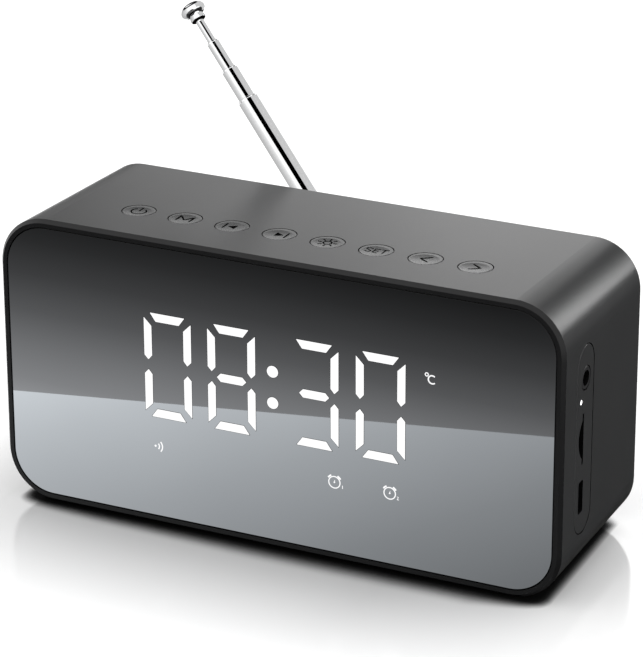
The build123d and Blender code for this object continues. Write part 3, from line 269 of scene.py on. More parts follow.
SEGMENT_GLOW = glowing("segment_glow", (1.0, 1.0, 1.0), 1.06)
STATUS_GLOW = glowing("status_glow", (1.0, 1.0, 1.0), 2.0)
# painted shade: near-black given to the walls of holes and gaps and the sides of keys, where there is only
# shade
PAINTED_RECESS_SHADE = moulded("recess_black", (0.0015, 0.0015, 0.0015), 0.6, grain=0.02, specular=0.08)


def mirror_glass():
    """Half-silvered display mirror: faintly blue, with a hair of haze and ripple."""
    nodes = Nodes("display_mirror")
    haze = nodes.noise(25, detail=2)
    base = nodes.ramp(haze, [(0.3, (0.60, 0.615, 0.64)), (0.7, (0.62, 0.635, 0.66))])
    nodes.wire(base, nodes.shader.inputs["Base Color"])
    nodes.wire(nodes.spread(haze, 0.012, 0.02), nodes.shader.inputs["Roughness"])
    nodes.bump(nodes.noise(8, detail=1), 0.02, 0.02 * MM)
    nodes.set(Metallic=1.0)
    return nodes.material


MIRROR_GLASS = mirror_glass()

# the speaker_, button and antenna rows serve every node of that kind
NODE_MATERIALS = {
    "housing_sleeve": SHELL_PLASTIC,
    "front_bezel": BEZEL_PLASTIC,
    "mirror_panel": MIRROR_GLASS,
    "mirror_tape": BLACK_PLASTIC,
    "rubber_feet": RUBBER,
    "display_light_box": BLACK_PLASTIC,
    "segment_windows": MILKY,
    "display_board": BOARD_GREEN,
    "display_leds": MILKY,
    "display_header": BLACK_PLASTIC,
    "button_board": BOARD_GREEN,
    "button_switches": BLACK_PLASTIC,
    "button_ribbon": RIBBON_WHITE,
    "main_board": BOARD_GREEN,
    "main_board_chips": CHIP_EPOXY,
    "port_panel": PANEL_PLASTIC,
    "aux_jack": BLACK_PLASTIC,
    "usb_socket": SOCKET_STEEL,
    "card_socket": SOCKET_STEEL,
    "status_light": STATUS_GLOW,
    "rear_cover": BLACK_PLASTIC,
    "rear_cover_screws": SCREW_STEEL,
    "board_screws": SCREW_STEEL,
    "speaker_screws": SCREW_STEEL,
    "battery_tray": BLACK_PLASTIC,
    "battery_cell": POUCH,
    "speaker_wires": WIRE_RED,
    "battery_wires": WIRE_RED,
    "antenna_wire": WIRE_RED,
    "swivel_washer": PLATED,
    "swivel_screw": SCREW_STEEL,
    "speaker_basket": BASKET_PAINT,
    "speaker_magnet": MAGNET_PLATE,
    "speaker_cone": CONE_PAPER,
    "speaker_surround": RUBBER,
    "speaker_grille": GRILLE_PAINT,
    "button": KEY_PLASTIC,
    "antenna": CHROME,
    "elbow_pin": CHROME,
}


def material_for(node):
    if node in NODE_MATERIALS:
        return NODE_MATERIALS[node]
    for key in ("speaker_basket", "speaker_magnet", "speaker_cone", "speaker_surround", "speaker_grille"):
        if node.endswith(key):
            return NODE_MATERIALS[key]
    return NODE_MATERIALS["button"] if node.endswith("_button") else NODE_MATERIALS["antenna"]


for node_name, node_object in NODES.items():
    dress(node_object, material_for(node_name))
    smooth_by_angle(node_object)


def blacken(node, inside):
    """Give the faces that lie inside a gap or a hole the black of deep shade, as painted shade."""
    obj = NODES[node]
    mesh = obj.data
    mesh.materials.append(PAINTED_RECESS_SHADE)
    for polygon in mesh.polygons:
        if inside(obj.matrix_world @ polygon.center, polygon.normal):
            polygon.material_index = len(mesh.materials) - 1


def shade_recesses():
    """Painted deep shade in the sockets' openings, round the side panel and round every key."""
    panel_low, panel_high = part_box("port_panel")
    margin = 0.4 * MM
    key_boxes = {name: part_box(name) for name in NODES if name.endswith("_button")}

    def in_panel(centre, normal):
        return normal.x < 0.5 or centre.x < panel_high.x - 0.5 * MM

    def in_sleeve(centre, normal):
        beside = panel_low.y - margin < centre.y < panel_high.y + margin
        level = panel_low.z - margin < centre.z < panel_high.z + margin
        if beside and level and centre.x > panel_low.x and normal.x < 0.3:
            return True
        for low, high in key_boxes.values():
            middle = (low + high) / 2
            close = math.hypot(centre.x - middle.x, centre.y - middle.y) < (high.x - low.x) / 2
            if close and centre.z > low.z and abs(normal.z) < 0.5:
                return True
        return False

    blacken("port_panel", in_panel)
    blacken("housing_sleeve", in_sleeve)
    blacken("aux_jack", lambda centre, normal: normal.x < 0.6)
    cap_edge = 0.45 * MM
    for name, (_, high) in key_boxes.items():
        top = high.z - cap_edge
        blacken(name, lambda centre, normal, top=top: abs(normal.z) < 0.4 or centre.z < top)


shade_recesses()


def shade_mirror_edge():
    """The ground edge of the mirror gets the bezel's black as painted shade, so it shows no bright line;
    only its flat front stays bright.
    """
    mesh = NODES["mirror_panel"].data
    mesh.materials.append(BEZEL_PLASTIC)
    for polygon in mesh.polygons:
        if polygon.normal.y > -0.98:
            polygon.material_index = 1


shade_mirror_edge()


# =============================================================================================
# Display
# =============================================================================================
DISPLAY_Y = MIRROR_LOW.y - 0.05 * MM
RIM_Y = MIRROR_LOW.y - 0.02 * MM
# the rest of the display is in millimetres: x from the middle, z up from the bezel's foot
DIGIT_X = (-26.5, -10.3, 10.35, 26.6)
DIGIT_Z = 39.47
DIGIT_HALF_WIDTH = 6.0
DIGIT_HALF_HEIGHT = 12.7
STROKE = 2.0
DOT_Z = (43.27, 35.7)
DOT_RADIUS = 1.4
RIM = 0.09
LIT = ("abcdef", "abcdefg", "abcdg", "abcdef")


def segment_shapes():
    """Outlines of the seven bars, about the digit's centre."""
    w, h, t = DIGIT_HALF_WIDTH, DIGIT_HALF_HEIGHT, STROKE
    cap = [(-w + 1.6, h), (w - 1.6, h), (w - 1.6 - 0.72 * t, h - t), (-w + 1.6 + 0.72 * t, h - t)]
    side = [(-w, h - 1.3), (-w + 1.92, h - 3.2), (-w + 1.95, 2.3), (-w + 1.0, 1.2), (-w, 2.25)]
    middle = [(-w + 2.3, 0), (-w + 3.25, t / 2), (w - 3.25, t / 2)]
    middle += [(-x, -z) for x, z in middle]

    def flip(points, sx, sz):
        return [(sx * x, sz * z) for x, z in points]

    return {
        "a": cap,
        "b": flip(side, -1, 1),
        "c": flip(side, -1, -1),
        "d": flip(cap, 1, -1),
        "e": flip(side, 1, -1),
        "f": side,
        "g": middle,
    }


def counter_clockwise(points):
    area = sum(x0 * z1 - x1 * z0 for (x0, z0), (x1, z1) in zip(points, points[1:] + points[:1]))
    return points if area > 0 else points[::-1]


def offset_outline(points, grow):
    """Move every side of a convex outline outwards by grow."""
    points = [Vector(p) for p in counter_clockwise(points)]
    moved = []
    for index, corner in enumerate(points):
        before = (corner - points[index - 1]).normalized()
        after = (points[(index + 1) % len(points)] - corner).normalized()
        normal = Vector((before.y + after.y, -before.x - after.x)).normalized()
        spread = max(0.35, normal.dot(Vector((after.y, -after.x))))
        moved.append(corner + normal * (grow / spread))
    return [tuple(p) for p in moved]


def rounded_outline(points, radius, steps=4):
    """Round the corners of an outline."""
    points = [Vector(p) for p in counter_clockwise(points)]
    shape = []
    for index, corner in enumerate(points):
        before = points[index - 1] - corner
        after = points[(index + 1) % len(points)] - corner
        reach = min(radius, 0.35 * before.length, 0.35 * after.length)
        start = corner + before.normalized() * reach
        end = corner + after.normalized() * reach
        for step in range(steps + 1):
            t = step / steps
            shape.append(tuple(start * (1 - t) ** 2 + corner * (2 * t * (1 - t)) + end * t ** 2))
    return shape


def arc_points(x, z, radius, start, end, steps=24):
    """Points of an arc from start to end, in degrees."""
    angles = [math.radians(start + (end - start) * k / steps) for k in range(steps + 1)]
    return [(x + radius * math.cos(angle), z + radius * math.sin(angle)) for angle in angles]


def disc_outline(x, z, radius, steps=40):
    return arc_points(x, z, radius, 0, 360, steps)[:-1]


def plate(name, outlines, front, thick, to_world):
    """Thin plates from closed outlines, each a slab with its own sides."""
    verts, faces = [], []
    for outline in outlines:
        start, count = len(verts), len(outline)
        verts += [to_world(x, z, front) for x, z in outline]
        verts += [to_world(x, z, front + thick) for x, z in outline]
        faces.append(list(range(start, start + count)))
        faces.append(list(range(start + 2 * count - 1, start + count - 1, -1)))
        for k in range(count):
            nxt = (k + 1) % count
            faces.append([start + nxt, start + k, start + count + k, start + count + nxt])
    return mesh_object(name, verts, faces)


def on_display(x, z, depth):
    return (x * MM, depth, BASE_Z + z * MM)


def lit_outlines():
    shapes = segment_shapes()
    outlines = []
    for centre, letters in zip(DIGIT_X, LIT):
        for letter in letters:
            outlines.append([(centre + x, DIGIT_Z + z) for x, z in shapes[letter]])
    return outlines


def dot_outlines(grow=0.0):
    middle = (DIGIT_X[1] + DIGIT_X[2]) / 2
    return [disc_outline(middle, z, DOT_RADIUS + grow) for z in DOT_Z]


def stroke_outline(points, width):
    """Outlines of a straight or bent line of the given width, one quad per run."""
    quads = []
    for (x0, z0), (x1, z1) in zip(points, points[1:]):
        along = Vector((x1 - x0, z1 - z0))
        length = along.length
        along.normalize()
        side = Vector((-along.y, along.x)) * width / 2
        reach = along * (width * 0.35 if length > width else 0)
        a, b = Vector((x0, z0)) - reach, Vector((x1, z1)) + reach
        quads.append([tuple(a + side), tuple(a - side), tuple(b - side), tuple(b + side)])
    return quads


def alarm_clock(x, z, mark):
    """Small alarm clock: ring, two bells, centre and hand, and a numeral beside it."""
    thin = 0.23
    strokes = stroke_outline(arc_points(x, z, 1.4, 0, 360, 32), thin)
    for start in (32, 116):
        strokes += stroke_outline(arc_points(x, z, 1.8, start, start + 32, 6), 0.36)
    strokes.append(disc_outline(x, z, 0.2, 12))
    strokes += stroke_outline([(x, z), (x + 0.08, z + 0.5)], 0.12)
    left, low, high = x + 2.0, z - 1.2, z - 0.5
    if mark == 1:
        strokes += stroke_outline([(left, high), (left, low)], 0.14)
    else:
        bend = (left + 0.12, high - 0.1)
        strokes += stroke_outline([(left - 0.15, high), bend, (left - 0.15, low)], 0.12)
        strokes += stroke_outline([(left - 0.15, low), (left + 0.2, low)], 0.12)
    return strokes


def degree_sign():
    """Small ring and the letter C."""
    strokes = stroke_outline(arc_points(37.68, 49.43, 0.38, 0, 360, 20), 0.22)
    strokes += stroke_outline(arc_points(39.0, 48.39, 0.95, 50, 310, 20), 0.3)
    return strokes


def wave_sign(x, z):
    """Generic wireless sign: a dot and two arcs."""
    strokes = [disc_outline(x - 1.0, z, 0.26, 16)]
    for radius in (1.0, 1.8):
        strokes += stroke_outline(arc_points(x - 1.0, z, radius, -42, 42, 10), 0.28)
    return strokes


def make_display():
    """Lit bars, dots and signs on the mirror, with a thin dark rim round each bar."""
    bright = [rounded_outline(outline, 0.12) for outline in lit_outlines()] + dot_outlines()
    icons = degree_sign() + wave_sign(-29.2, 19.5)
    icons += alarm_clock(15.3, 19.3, 1) + alarm_clock(28.93, 19.3, 2)
    lit = plate("lit_segments", bright, DISPLAY_Y, 0.015 * MM, on_display)
    signs = plate("lit_signs", icons, DISPLAY_Y, 0.015 * MM, on_display)
    rims = [rounded_outline(offset_outline(outline, RIM), 0.2) for outline in lit_outlines()]
    rim = plate("segment_rims", rims + dot_outlines(RIM), RIM_Y, 0.01 * MM, on_display)
    for piece in (lit, signs):
        dress(piece, SEGMENT_GLOW)
    dress(rim, BEZEL_PLASTIC)
    for piece in (lit, signs, rim):
        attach(piece, "radio")


make_display()


# =============================================================================================
# Key legends
# =============================================================================================
ICON_WIDTH = 0.29
LETTER_WIDTH = 0.22
ICON_SCALE = 1.3


def key_icon(name):
    """Strokes and filled outlines of one key's legend, in millimetres about the key's centre."""
    w = ICON_WIDTH
    strokes, fills = [], []
    if name == "power":
        strokes += stroke_outline(arc_points(0, -0.1, 1.35, 125, 415), w)
        strokes += stroke_outline([(0, 1.65), (0, 0.2)], w)
    elif name == "mode":
        strokes += stroke_outline([(-1.3, -1.1), (-1.3, 1.1), (0, -0.5), (1.3, 1.1), (1.3, -1.1)], w)
    elif name == "previous":
        strokes += stroke_outline([(-1.35, 1.1), (-1.35, -1.1)], w)
        fills.append([(-0.75, 0), (0.75, -0.85), (0.75, 0.85)])
    elif name == "next":
        strokes += stroke_outline([(1.35, 1.1), (1.35, -1.1)], w)
        fills.append([(0.75, 0), (-0.75, 0.85), (-0.75, -0.85)])
    elif name == "light":
        strokes += stroke_outline(arc_points(0, 0, 0.75, 0, 360, 20), w)
        for k in range(8):
            angle = math.pi / 4 * k
            ray = [(r * math.cos(angle), r * math.sin(angle)) for r in (1.15, 1.75)]
            strokes += stroke_outline(ray, w * 0.9)
    elif name == "set":
        strokes += letter_strokes()
    elif name == "down":
        strokes += stroke_outline([(0.8, 1.2), (-0.9, 0), (0.8, -1.2)], w)
    elif name == "up":
        strokes += stroke_outline([(-0.8, 1.2), (0.9, 0), (-0.8, -1.2)], w)
    return [[(x * ICON_SCALE, z * ICON_SCALE) for x, z in outline] for outline in strokes + fills]


def letter_strokes():
    """The word for the setting key, drawn with plain strokes."""
    w = LETTER_WIDTH
    s = [(-0.9, 0.7), (-1.35, 0.9), (-1.85, 0.7), (-1.85, 0.25), (-1.4, 0.0), (-0.95, -0.25), (-0.95, -0.7)]
    s += [(-1.4, -0.9), (-1.9, -0.7)]
    strokes = stroke_outline(s, w)
    strokes += stroke_outline([(0.45, 0.85), (-0.4, 0.85), (-0.4, -0.85), (0.45, -0.85)], w)
    strokes += stroke_outline([(-0.4, 0.0), (0.35, 0.0)], w)
    strokes += stroke_outline([(0.85, 0.85), (2.05, 0.85)], w)
    strokes += stroke_outline([(1.45, 0.85), (1.45, -0.85)], w)
    return strokes


def key_surface(name):
    """Maker of points on a key's dished top, from (x, y) about its centre and a lift."""
    low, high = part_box(f"{name}_button")
    centre_x, centre_y = (low.x + high.x) / 2, (low.y + high.y) / 2
    cap = NODES[f"{name}_button"]

    def place(x, y, lift):
        start = Vector((centre_x + x * MM, centre_y + y * MM, high.z + 0.01))
        found, point, _, _ = cap.ray_cast(start, Vector((0, 0, -1)))
        top = point.z if found else high.z
        return (start.x, start.y, top + lift)

    return place


def make_legends():
    """One thin ink legend on each key, moving with the key's joint."""
    for joint in JOINTS.values():
        if not joint["name"].endswith("_press"):
            continue
        name = joint["name"].replace("_press", "")
        legend = plate(f"{name}_legend", key_icon(name), 0.012 * MM, 0.01 * MM, key_surface(name))
        dress(legend, LEGEND_INK)
        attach(legend, joint["child"])


make_legends()


# =============================================================================================
# Antenna: turned on its own axis
# =============================================================================================
PIVOT = Vector(JOINTS["antenna_elbow"]["pos_m"])
ALONG = Vector(JOINTS["second_slide"]["axis"]).normalized()
PIN_AXIS = Vector(JOINTS["antenna_elbow"]["axis"]).normalized()
ACROSS = PIN_AXIS.cross(ALONG).normalized()


def lathe(name, profile, segments=72):
    """Turn a closed (radius, distance) profile in millimetres about the antenna's axis."""
    verts, faces = [], []
    count = len(profile)
    for k in range(segments):
        angle = 2 * math.pi * k / segments
        out = PIN_AXIS * math.cos(angle) + ACROSS * math.sin(angle)
        verts += [PIVOT + out * (radius * MM) + ALONG * (place * MM) for radius, place in profile]
    for k in range(segments):
        after = (k + 1) % segments
        for j in range(count):
            nxt = (j + 1) % count
            if profile[j][0] == 0 and profile[nxt][0] == 0:
                continue
            faces.append([k * count + j, k * count + nxt, after * count + nxt, after * count + j])
    obj = mesh_object(name, verts, faces)
    bm = bmesh.new()
    bm.from_mesh(obj.data)
    bmesh.ops.remove_doubles(bm, verts=bm.verts, dist=0.0005 * MM)
    bmesh.ops.recalc_face_normals(bm, faces=bm.faces)
    bm.to_mesh(obj.data)
    bm.free()
    smooth_by_angle(obj, 50)
    return obj


TUBES = (
    # name, body, outside radius, bore radius, mouth radius, start, end: millimetres from the pin
    ("antenna_outer_tube", "arm", 2.5, 2.2, 2.1, 4.6, 57.7),
    ("antenna_second_tube", "second_section", 2.0, 1.7, 1.6, 16.6, 66.4),
    ("antenna_third_tube", "third_section", 1.5, 1.2, 1.1, 24.0, 74.4),
)
ROD_START, ROD_END = 32, 82.6
KNOB_START = 80.6
KNOB_HEIGHT = 3.2
KNOB_LENGTH = 4.7
KNOB_RADIUS = 3.1
COLLAR_RADIUS = 1.95


def tube_profile(outside, bore, mouth, start, end):
    """Outside up to a rolled mouth, then back down the bore."""
    drop = outside - mouth - 0.05
    length, steps = 0.75, 10
    profile = [(outside, start)]
    for step in range(steps + 1):
        angle = math.pi / 2 * step / steps
        profile.append((outside - drop + drop * math.cos(angle), end - length + length * math.sin(angle)))
    profile += [(mouth, end - 0.08), (mouth, end - 1.2), (bore, end - 1.6), (bore, start)]
    return profile


def make_antenna():
    """Turned sections in place of the frame's, each on its own body."""
    for name, body, *sizes in TUBES:
        tube = lathe(f"{name}_polished", tube_profile(*sizes))
        finish_antenna_piece(tube, body, name)
    rod = lathe("antenna_rod_polished", rod_profile())
    finish_antenna_piece(rod, "tip", "antenna_rod")
    knob = lathe("antenna_knob_polished", knob_profile())
    finish_antenna_piece(knob, "tip", "antenna_knob")


def rod_profile():
    """Plain rod with a wider foot that keeps it in its tube."""
    profile = [(0, ROD_START), (1.14, ROD_START), (1.14, ROD_START + 1), (1.0, ROD_START + 1.4)]
    return profile + [(1.0, ROD_END), (0, ROD_END)]


def knob_profile():
    """Waisted collar, then a dome that starts under its widest place."""
    start, collar = KNOB_START, COLLAR_RADIUS
    dome = start + KNOB_LENGTH - KNOB_HEIGHT
    profile = [(1.0, start + 0.25), (collar - 0.3, start), (collar - 0.1, start + 0.1)]
    profile += [(collar, start + 0.3), (collar, start + 0.75), (collar - 0.25, dome - 0.1)]
    lowest, sine_of_lowest, steps = -52, 0.79, 28
    for step in range(steps + 1):
        angle = math.radians(lowest + (90 - lowest) * step / steps)
        climb = (math.sin(angle) + sine_of_lowest) / (1 + sine_of_lowest)
        profile.append((max(0.0, KNOB_RADIUS * math.cos(angle)), dome + KNOB_HEIGHT * climb))
    return profile + [(0, start + 2.0), (1.0, start + 2.0)]


def finish_antenna_piece(piece, body, node):
    dress(piece, CHROME)
    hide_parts(node)
    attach(piece, body)


make_antenna()


# =============================================================================================
# Studio: cards, floor, world and camera
# =============================================================================================
WORLD_LIGHT = 1.35
MIRROR_TINT = 0.61              # brightness of the mirror's metal, which the front cards make up for
FLOOR_LIFT = 0.4 * MM           # cards that lie on the floor
BACK_DEPTH = 0.25               # upright cards behind the radio
STRIP_LEFT, STRIP_RIGHT, STRIP_LOW = 0.184, 0.217, 0.088
FLAG_LEFT = 0.052
STRIPE = "antenna_stripe"
SHEEN = 0.54                    # share of gloss in the floor beside the radio

CAMERA_AZIMUTH = 26.214
CAMERA_ELEVATION = 21.829
CAMERA_ROLL = -0.208
CAMERA_PLACE = Vector((0.31301, -0.63426, 0.29351))     # from the middle of the shell
SENSOR = 36.0
LENS = 182.97


def card(name, corners, emission, strength=1.0, faces=((0, 1, 2, 3),), towards=None):
    """Studio card that only reflections see, and only from its front.

    emission is one colour, or a function that builds the colour from the card's node tree.
    With towards, the front is the side that faces that point.
    """
    obj = mesh_object(name, corners, faces)
    if towards is not None:
        polygon = obj.data.polygons[0]
        if polygon.normal.dot(towards - polygon.center) < 0:
            obj.data.flip_normals()
    nodes = Nodes(name)
    tree = nodes.tree
    tree.nodes.remove(nodes.shader)
    glow = nodes.add("ShaderNodeEmission")
    glow.inputs["Strength"].default_value = strength
    if callable(emission):
        nodes.wire(emission(nodes), glow.inputs["Color"])
    else:
        glow.inputs["Color"].default_value = (*emission, 1)
    clear = nodes.add("ShaderNodeBsdfTransparent")
    mix = nodes.add("ShaderNodeMixShader")
    side = nodes.add("ShaderNodeNewGeometry")
    nodes.wire(side.outputs["Backfacing"], mix.inputs["Fac"])
    nodes.wire(glow.outputs["Emission"], mix.inputs[1])
    nodes.wire(clear.outputs["BSDF"], mix.inputs[2])
    nodes.wire(mix.outputs["Shader"], tree.nodes["Material Output"].inputs["Surface"])
    dress(obj, nodes.material)
    obj.visible_camera = False
    obj.visible_diffuse = False
    obj.visible_shadow = False
    obj.visible_transmission = False
    return obj


def grey(level):
    """Scene-linear grey of an 8-bit display level."""
    value = level / 255
    value = value / 12.92 if value <= 0.04045 else ((value + 0.055) / 1.055) ** 2.4
    return (value, value, value)


def along(direction, start, end, stops):
    """Colour ramp along a direction: start and end are metres along it."""
    def build(nodes):
        product = nodes.add("ShaderNodeVectorMath", operation="DOT_PRODUCT")
        product.inputs[1].default_value = direction
        nodes.wire(nodes.position(), product.inputs[0])
        return nodes.ramp(nodes.between(product.outputs["Value"], start, end), stops)
    return build


def crossed(first, second):
    """Product of two colour ramps."""
    def build(nodes):
        return nodes.blend(first(nodes), second(nodes))
    return build


def greys(stops):
    """Ramp stops from (place, level) pairs, where a level is the same for all three colours."""
    return [(place, (level,) * 3) for place, level in stops]


def upright(x0, x1, z0, z1):
    """Corners of an upright card behind the radio that faces the front."""
    return [(x, BACK_DEPTH, z) for x, z in ((x0, z0), (x1, z0), (x1, z1), (x0, z1))]


def make_front_cards():
    """What the mirror shows: the pale table in front, then a dark room behind the viewer."""
    left, right = Vector((-0.300, -0.0430, 0)), Vector((0.200, -0.1615, 0))
    tall = Vector((0, 0, 0.09))
    room = [(0.0, 150), (0.12, 128), (0.26, 111), (0.42, 84), (0.58, 60), (0.72, 42), (0.86, 24), (1.0, 16)]
    room = [(place, tinted(grey(level), 1 / MIRROR_TINT)) for place, level in room]
    card("dark_room", [right, left, left + tall, right + tall],
         along((0.130, 0, 1), -0.0160, 0.0460, room))
    table = [(0.0, 98), (0.25, 127), (0.5, 156), (0.75, 184), (1.0, 213)]
    cool = (1.0, 1.035, 1.05)
    table = [(place, [g * c / MIRROR_TINT for g, c in zip(grey(level), cool)]) for place, level in table]
    near = BEZEL_LOW.y - 0.5 * MM
    ends = [(right.x, near), (left.x, near), (left.x, left.y), (right.x, right.y)]
    card("table_sheen", [(x, y, FLOOR_LIFT) for x, y in ends],
         along((-0.508, -0.286, 0), -0.025, 0.090, table))


def make_back_cards():
    """Flags and soft boxes behind the radio that shape the gloss on its top, corner and side."""
    across = [(0.0, 0.32), (0.146, 0.46), (0.216, 0.75), (0.352, 0.84), (0.419, 0.91), (0.488, 1.07)]
    across += [(0.558, 1.33), (0.626, 1.42), (0.694, 1.32), (1.0, 1.12)]
    across = greys([(place, level / 2) for place, level in across])
    rise = [(0.0, 1.0), (0.2, 0.95), (0.36, 0.56), (0.60, 0.52), (0.8, 0.16), (1.0, 0.10)]
    softbox_low = 0.12
    glow = crossed(along((1, 0, 0), -0.26, 0.05, across), along((0, 0, 1), softbox_low, 0.24, greys(rise)))
    card("top_softbox", upright(-0.50, FLAG_LEFT, softbox_low, 0.55), glow, 4.0)
    card("left_flag", upright(-0.60, FLAG_LEFT, 0.03, softbox_low), grey(150))
    card("corner_flag", upright(FLAG_LEFT, STRIP_LEFT, 0.0, 0.60), grey(70))
    card("corner_strip", upright(STRIP_LEFT, STRIP_RIGHT, STRIP_LOW, 0.45), (1, 1, 1), 10.0)
    card("low_flag", upright(STRIP_LEFT, 0.60, 0.0, STRIP_LOW), grey(120))
    card("side_flag", upright(STRIP_RIGHT, 0.60, STRIP_LOW, 0.60), grey(110))
    spans = (
        # x from, x to, y from, y to
        (0.072, 0.6, -0.060, -0.036),
        (0.0605, 0.6, -0.036, BACK_DEPTH),
        (-0.10, 0.0605, 0.012, BACK_DEPTH),
    )
    verts = []
    for x0, x1, y0, y1 in spans:
        verts += [(x, y, FLOOR_LIFT) for x, y in ((x0, y0), (x1, y0), (x1, y1), (x0, y1))]
    faces = [tuple(range(4 * k, 4 * k + 4)) for k in range(len(spans))]
    card("floor_flag", verts, grey(45), faces=faces)


def make_antenna_cards():
    """Cards wrapped round the antenna's axis: a black stripe between white and grey bands."""
    front = CAMERA_PLACE - PIVOT - ALONG * 0.07
    front = (front - ALONG * front.dot(ALONG)).normalized()
    side = ALONG.cross(front)
    if side.x < 0:
        side = -side
    bands = (
        # name, from, to (share of the tube's half width), level
        ("antenna_edge_far", -0.995, -0.85, 0.50),
        ("antenna_edge_near", -0.85, -0.72, 0.58),
        ("antenna_left_far", -0.72, -0.60, 0.66),
        ("antenna_left_middle", -0.60, -0.48, 0.76),
        ("antenna_left_near", -0.48, -0.38, 0.90),
        ("antenna_white", -0.38, -0.04, 1.10),
        (STRIPE, -0.04, 0.37, 0.0),
        ("antenna_side", 0.37, 0.995, 0.62),
    )
    sets = (
        # radius of the metal, distance of the cards, from, to along the axis: the last is the knob's
        (2.5, 1.0, 2, 57.6),
        (2.0, 1.0, 57.6, 66.3),
        (1.5, 1.0, 66.3, 74.3),
        (1.0, 1.0, 74.3, 80.4),
        (3.1, 5.0, 79.0, 94.0),
    )
    for name, u0, u1, level in bands:
        verts, faces = [], []
        for radius, reach, low, high in sets[:-1] if name == STRIPE else sets:
            first = len(verts)
            verts += antenna_strip(front, side, (u0, u1), radius * MM, reach * MM, (low * MM, high * MM))
            faces += [(k, k + 1, k + 3, k + 2) for k in range(first, len(verts) - 2, 2)]
        small_card(name, verts, (level,) * 3, faces, PIVOT + ALONG * 0.03)
    antenna_ring("antenna_ring", front, side, 91, (3.5, 9), PIVOT)
    antenna_ring("antenna_neck_ring", front, side, 80.4, (1.05, 2.6), PIVOT + ALONG * 0.1)


def small_card(name, verts, emission, faces, towards):
    """Card close to the metal it serves: it isn't used as a lamp."""
    obj = card(name, verts, emission, faces=faces, towards=towards)
    obj.active_material.cycles.emission_sampling = "NONE"


def antenna_strip(front, side, share, radius, reach, ends, turns=8):
    """Points of a curved card that fills one share of the tube's width with its reflection."""
    verts = []
    for k in range(turns + 1):
        lean = math.asin(share[0] + (share[1] - share[0]) * k / turns)
        normal = front * math.cos(lean) + side * math.sin(lean)
        away = front * math.cos(2 * lean) + side * math.sin(2 * lean)
        verts += [PIVOT + ALONG * end + normal * radius + away * reach for end in ends]
    return verts


def antenna_ring(name, front, side, place, radii, towards):
    """Dark flat ring round the antenna's axis, for the dark lines in the knob."""
    verts, faces = [], []
    parts = 24
    for k in range(parts):
        turn = 2 * math.pi * (k / parts + 0.5)
        out = front * math.cos(turn) + side * math.sin(turn)
        verts += [PIVOT + ALONG * (place * MM) + out * (radius * MM) for radius in radii]
        a = 2 * k
        b = 2 * ((k + 1) % parts)
        faces.append((a, a + 1, b + 1, b))
    small_card(name, verts, grey(8), faces, towards)


def contact_shade(nodes, across):
    """White to nearly black under the radio; across is the place along x."""
    stops = [(0.0, 3.5), (0.18, 6.0), (0.5, 7.8), (0.86, 7.8), (0.96, 3.8), (1.0, 3.8)]
    longest = 10
    place = nodes.between(across, -BEZEL_HIGH.x, BEZEL_HIGH.x)
    length = nodes.ramp(place, greys([(stop, length / longest) for stop, length in stops]))
    contact = nodes.add("ShaderNodeAmbientOcclusion", samples=16)
    nodes.wire(nodes.times(length, longest * MM), contact.inputs["Distance"])
    return nodes.ramp(contact.outputs["AO"], greys([(0.50, 0.01), (0.66, 0.06), (0.82, 0.45), (0.97, 1)]))


def sheen_share(nodes, split):
    """Share of gloss in the floor: full beside the radio, gone a hand's width away."""
    fades = (
        # axis, place where the sheen is full, place where it has gone
        ("Y", BEZEL_LOW.y, BEZEL_LOW.y - 50 * MM),
        ("Y", SLEEVE_HIGH.y - 15 * MM, SLEEVE_HIGH.y + 30 * MM),
        ("X", BEZEL_HIGH.x - 40 * MM, BEZEL_HIGH.x + 35 * MM),
        ("X", BEZEL_LOW.x, BEZEL_LOW.x - 20 * MM),
    )
    shares = [nodes.between(split.outputs[axis], gone, full) for axis, full, gone in fades]
    share = nodes.times(shares[0], SHEEN)
    for other in shares[1:]:
        share = nodes.product(share, other)
    return share


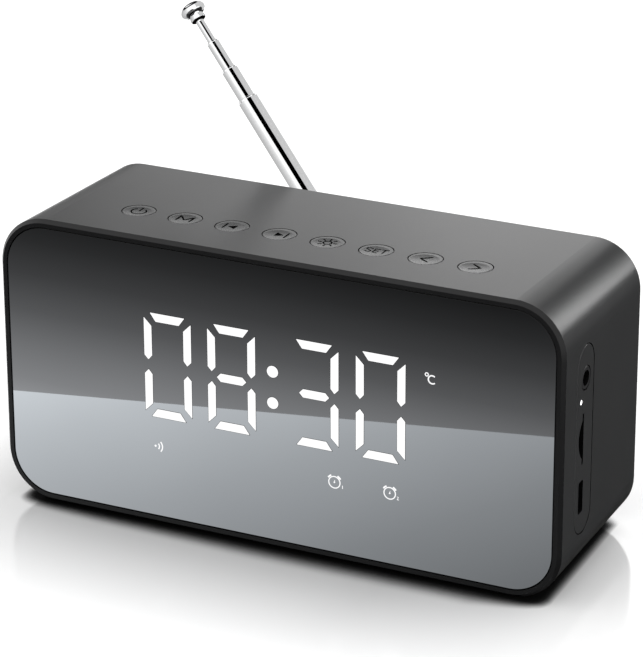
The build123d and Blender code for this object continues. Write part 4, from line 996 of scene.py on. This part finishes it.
def make_floor():
    """White floor: a soft contact shade at the radio and a sheen that fades away from it."""
    size = 6.0
    corners = [(-size, -size, 0), (size, -size, 0), (size, size, 0), (-size, size, 0)]
    floor = mesh_object("floor", corners, [(0, 1, 2, 3)])
    nodes = Nodes("floor_white")
    cloud = nodes.ramp(nodes.noise(3, detail=2), greys([(0.3, 0.96), (0.7, 0.97)]))
    split = nodes.add("ShaderNodeSeparateXYZ")
    nodes.wire(nodes.position(), split.inputs[0])
    shade = contact_shade(nodes, split.outputs["X"])
    nodes.wire(nodes.blend(cloud, shade), nodes.shader.inputs["Base Color"])
    nodes.set(Roughness=0.9, Specular_IOR_Level=0.0)
    sheen = nodes.add("ShaderNodeBsdfAnisotropic")
    sheen.inputs["Roughness"].default_value = 0.12
    nodes.wire(shade, sheen.inputs["Color"])
    mix = nodes.add("ShaderNodeMixShader")
    nodes.wire(sheen_share(nodes, split), mix.inputs["Fac"])
    nodes.wire(nodes.shader.outputs["BSDF"], mix.inputs[1])
    nodes.wire(sheen.outputs["BSDF"], mix.inputs[2])
    nodes.wire(mix.outputs["Shader"], nodes.tree.nodes["Material Output"].inputs["Surface"])
    dress(floor, nodes.material)


def make_world():
    """Even white light from all round."""
    world = bpy.data.worlds.new("studio")
    bpy.context.scene.world = world
    world.use_nodes = True
    background = world.node_tree.nodes["Background"]
    background.inputs["Color"].default_value = (1, 1, 1, 1)
    background.inputs["Strength"].default_value = WORLD_LIGHT
    bpy.context.scene.view_settings.view_transform = "Standard"


def make_camera():
    """Long lens, high in front on the right."""
    data = bpy.data.cameras.new("camera")
    data.sensor_width = SENSOR
    data.lens = LENS
    data.clip_end = 50
    camera = link(bpy.data.objects.new("camera", data))
    a, e, roll = (math.radians(v) for v in (CAMERA_AZIMUTH, CAMERA_ELEVATION, CAMERA_ROLL))
    back = Vector((math.sin(a) * math.cos(e), -math.cos(a) * math.cos(e), math.sin(e)))
    right = Vector((math.cos(a), math.sin(a), 0))
    up = back.cross(right)
    right, up = right * math.cos(roll) + up * math.sin(roll), up * math.cos(roll) - right * math.sin(roll)
    turn = Matrix((right, up, back)).transposed()
    camera.matrix_world = Matrix.Translation(BODY_MIDDLE + CAMERA_PLACE) @ turn.to_4x4()
    bpy.context.scene.camera = camera


make_floor()
make_world()
make_camera()
make_front_cards()
make_back_cards()
make_antenna_cards()
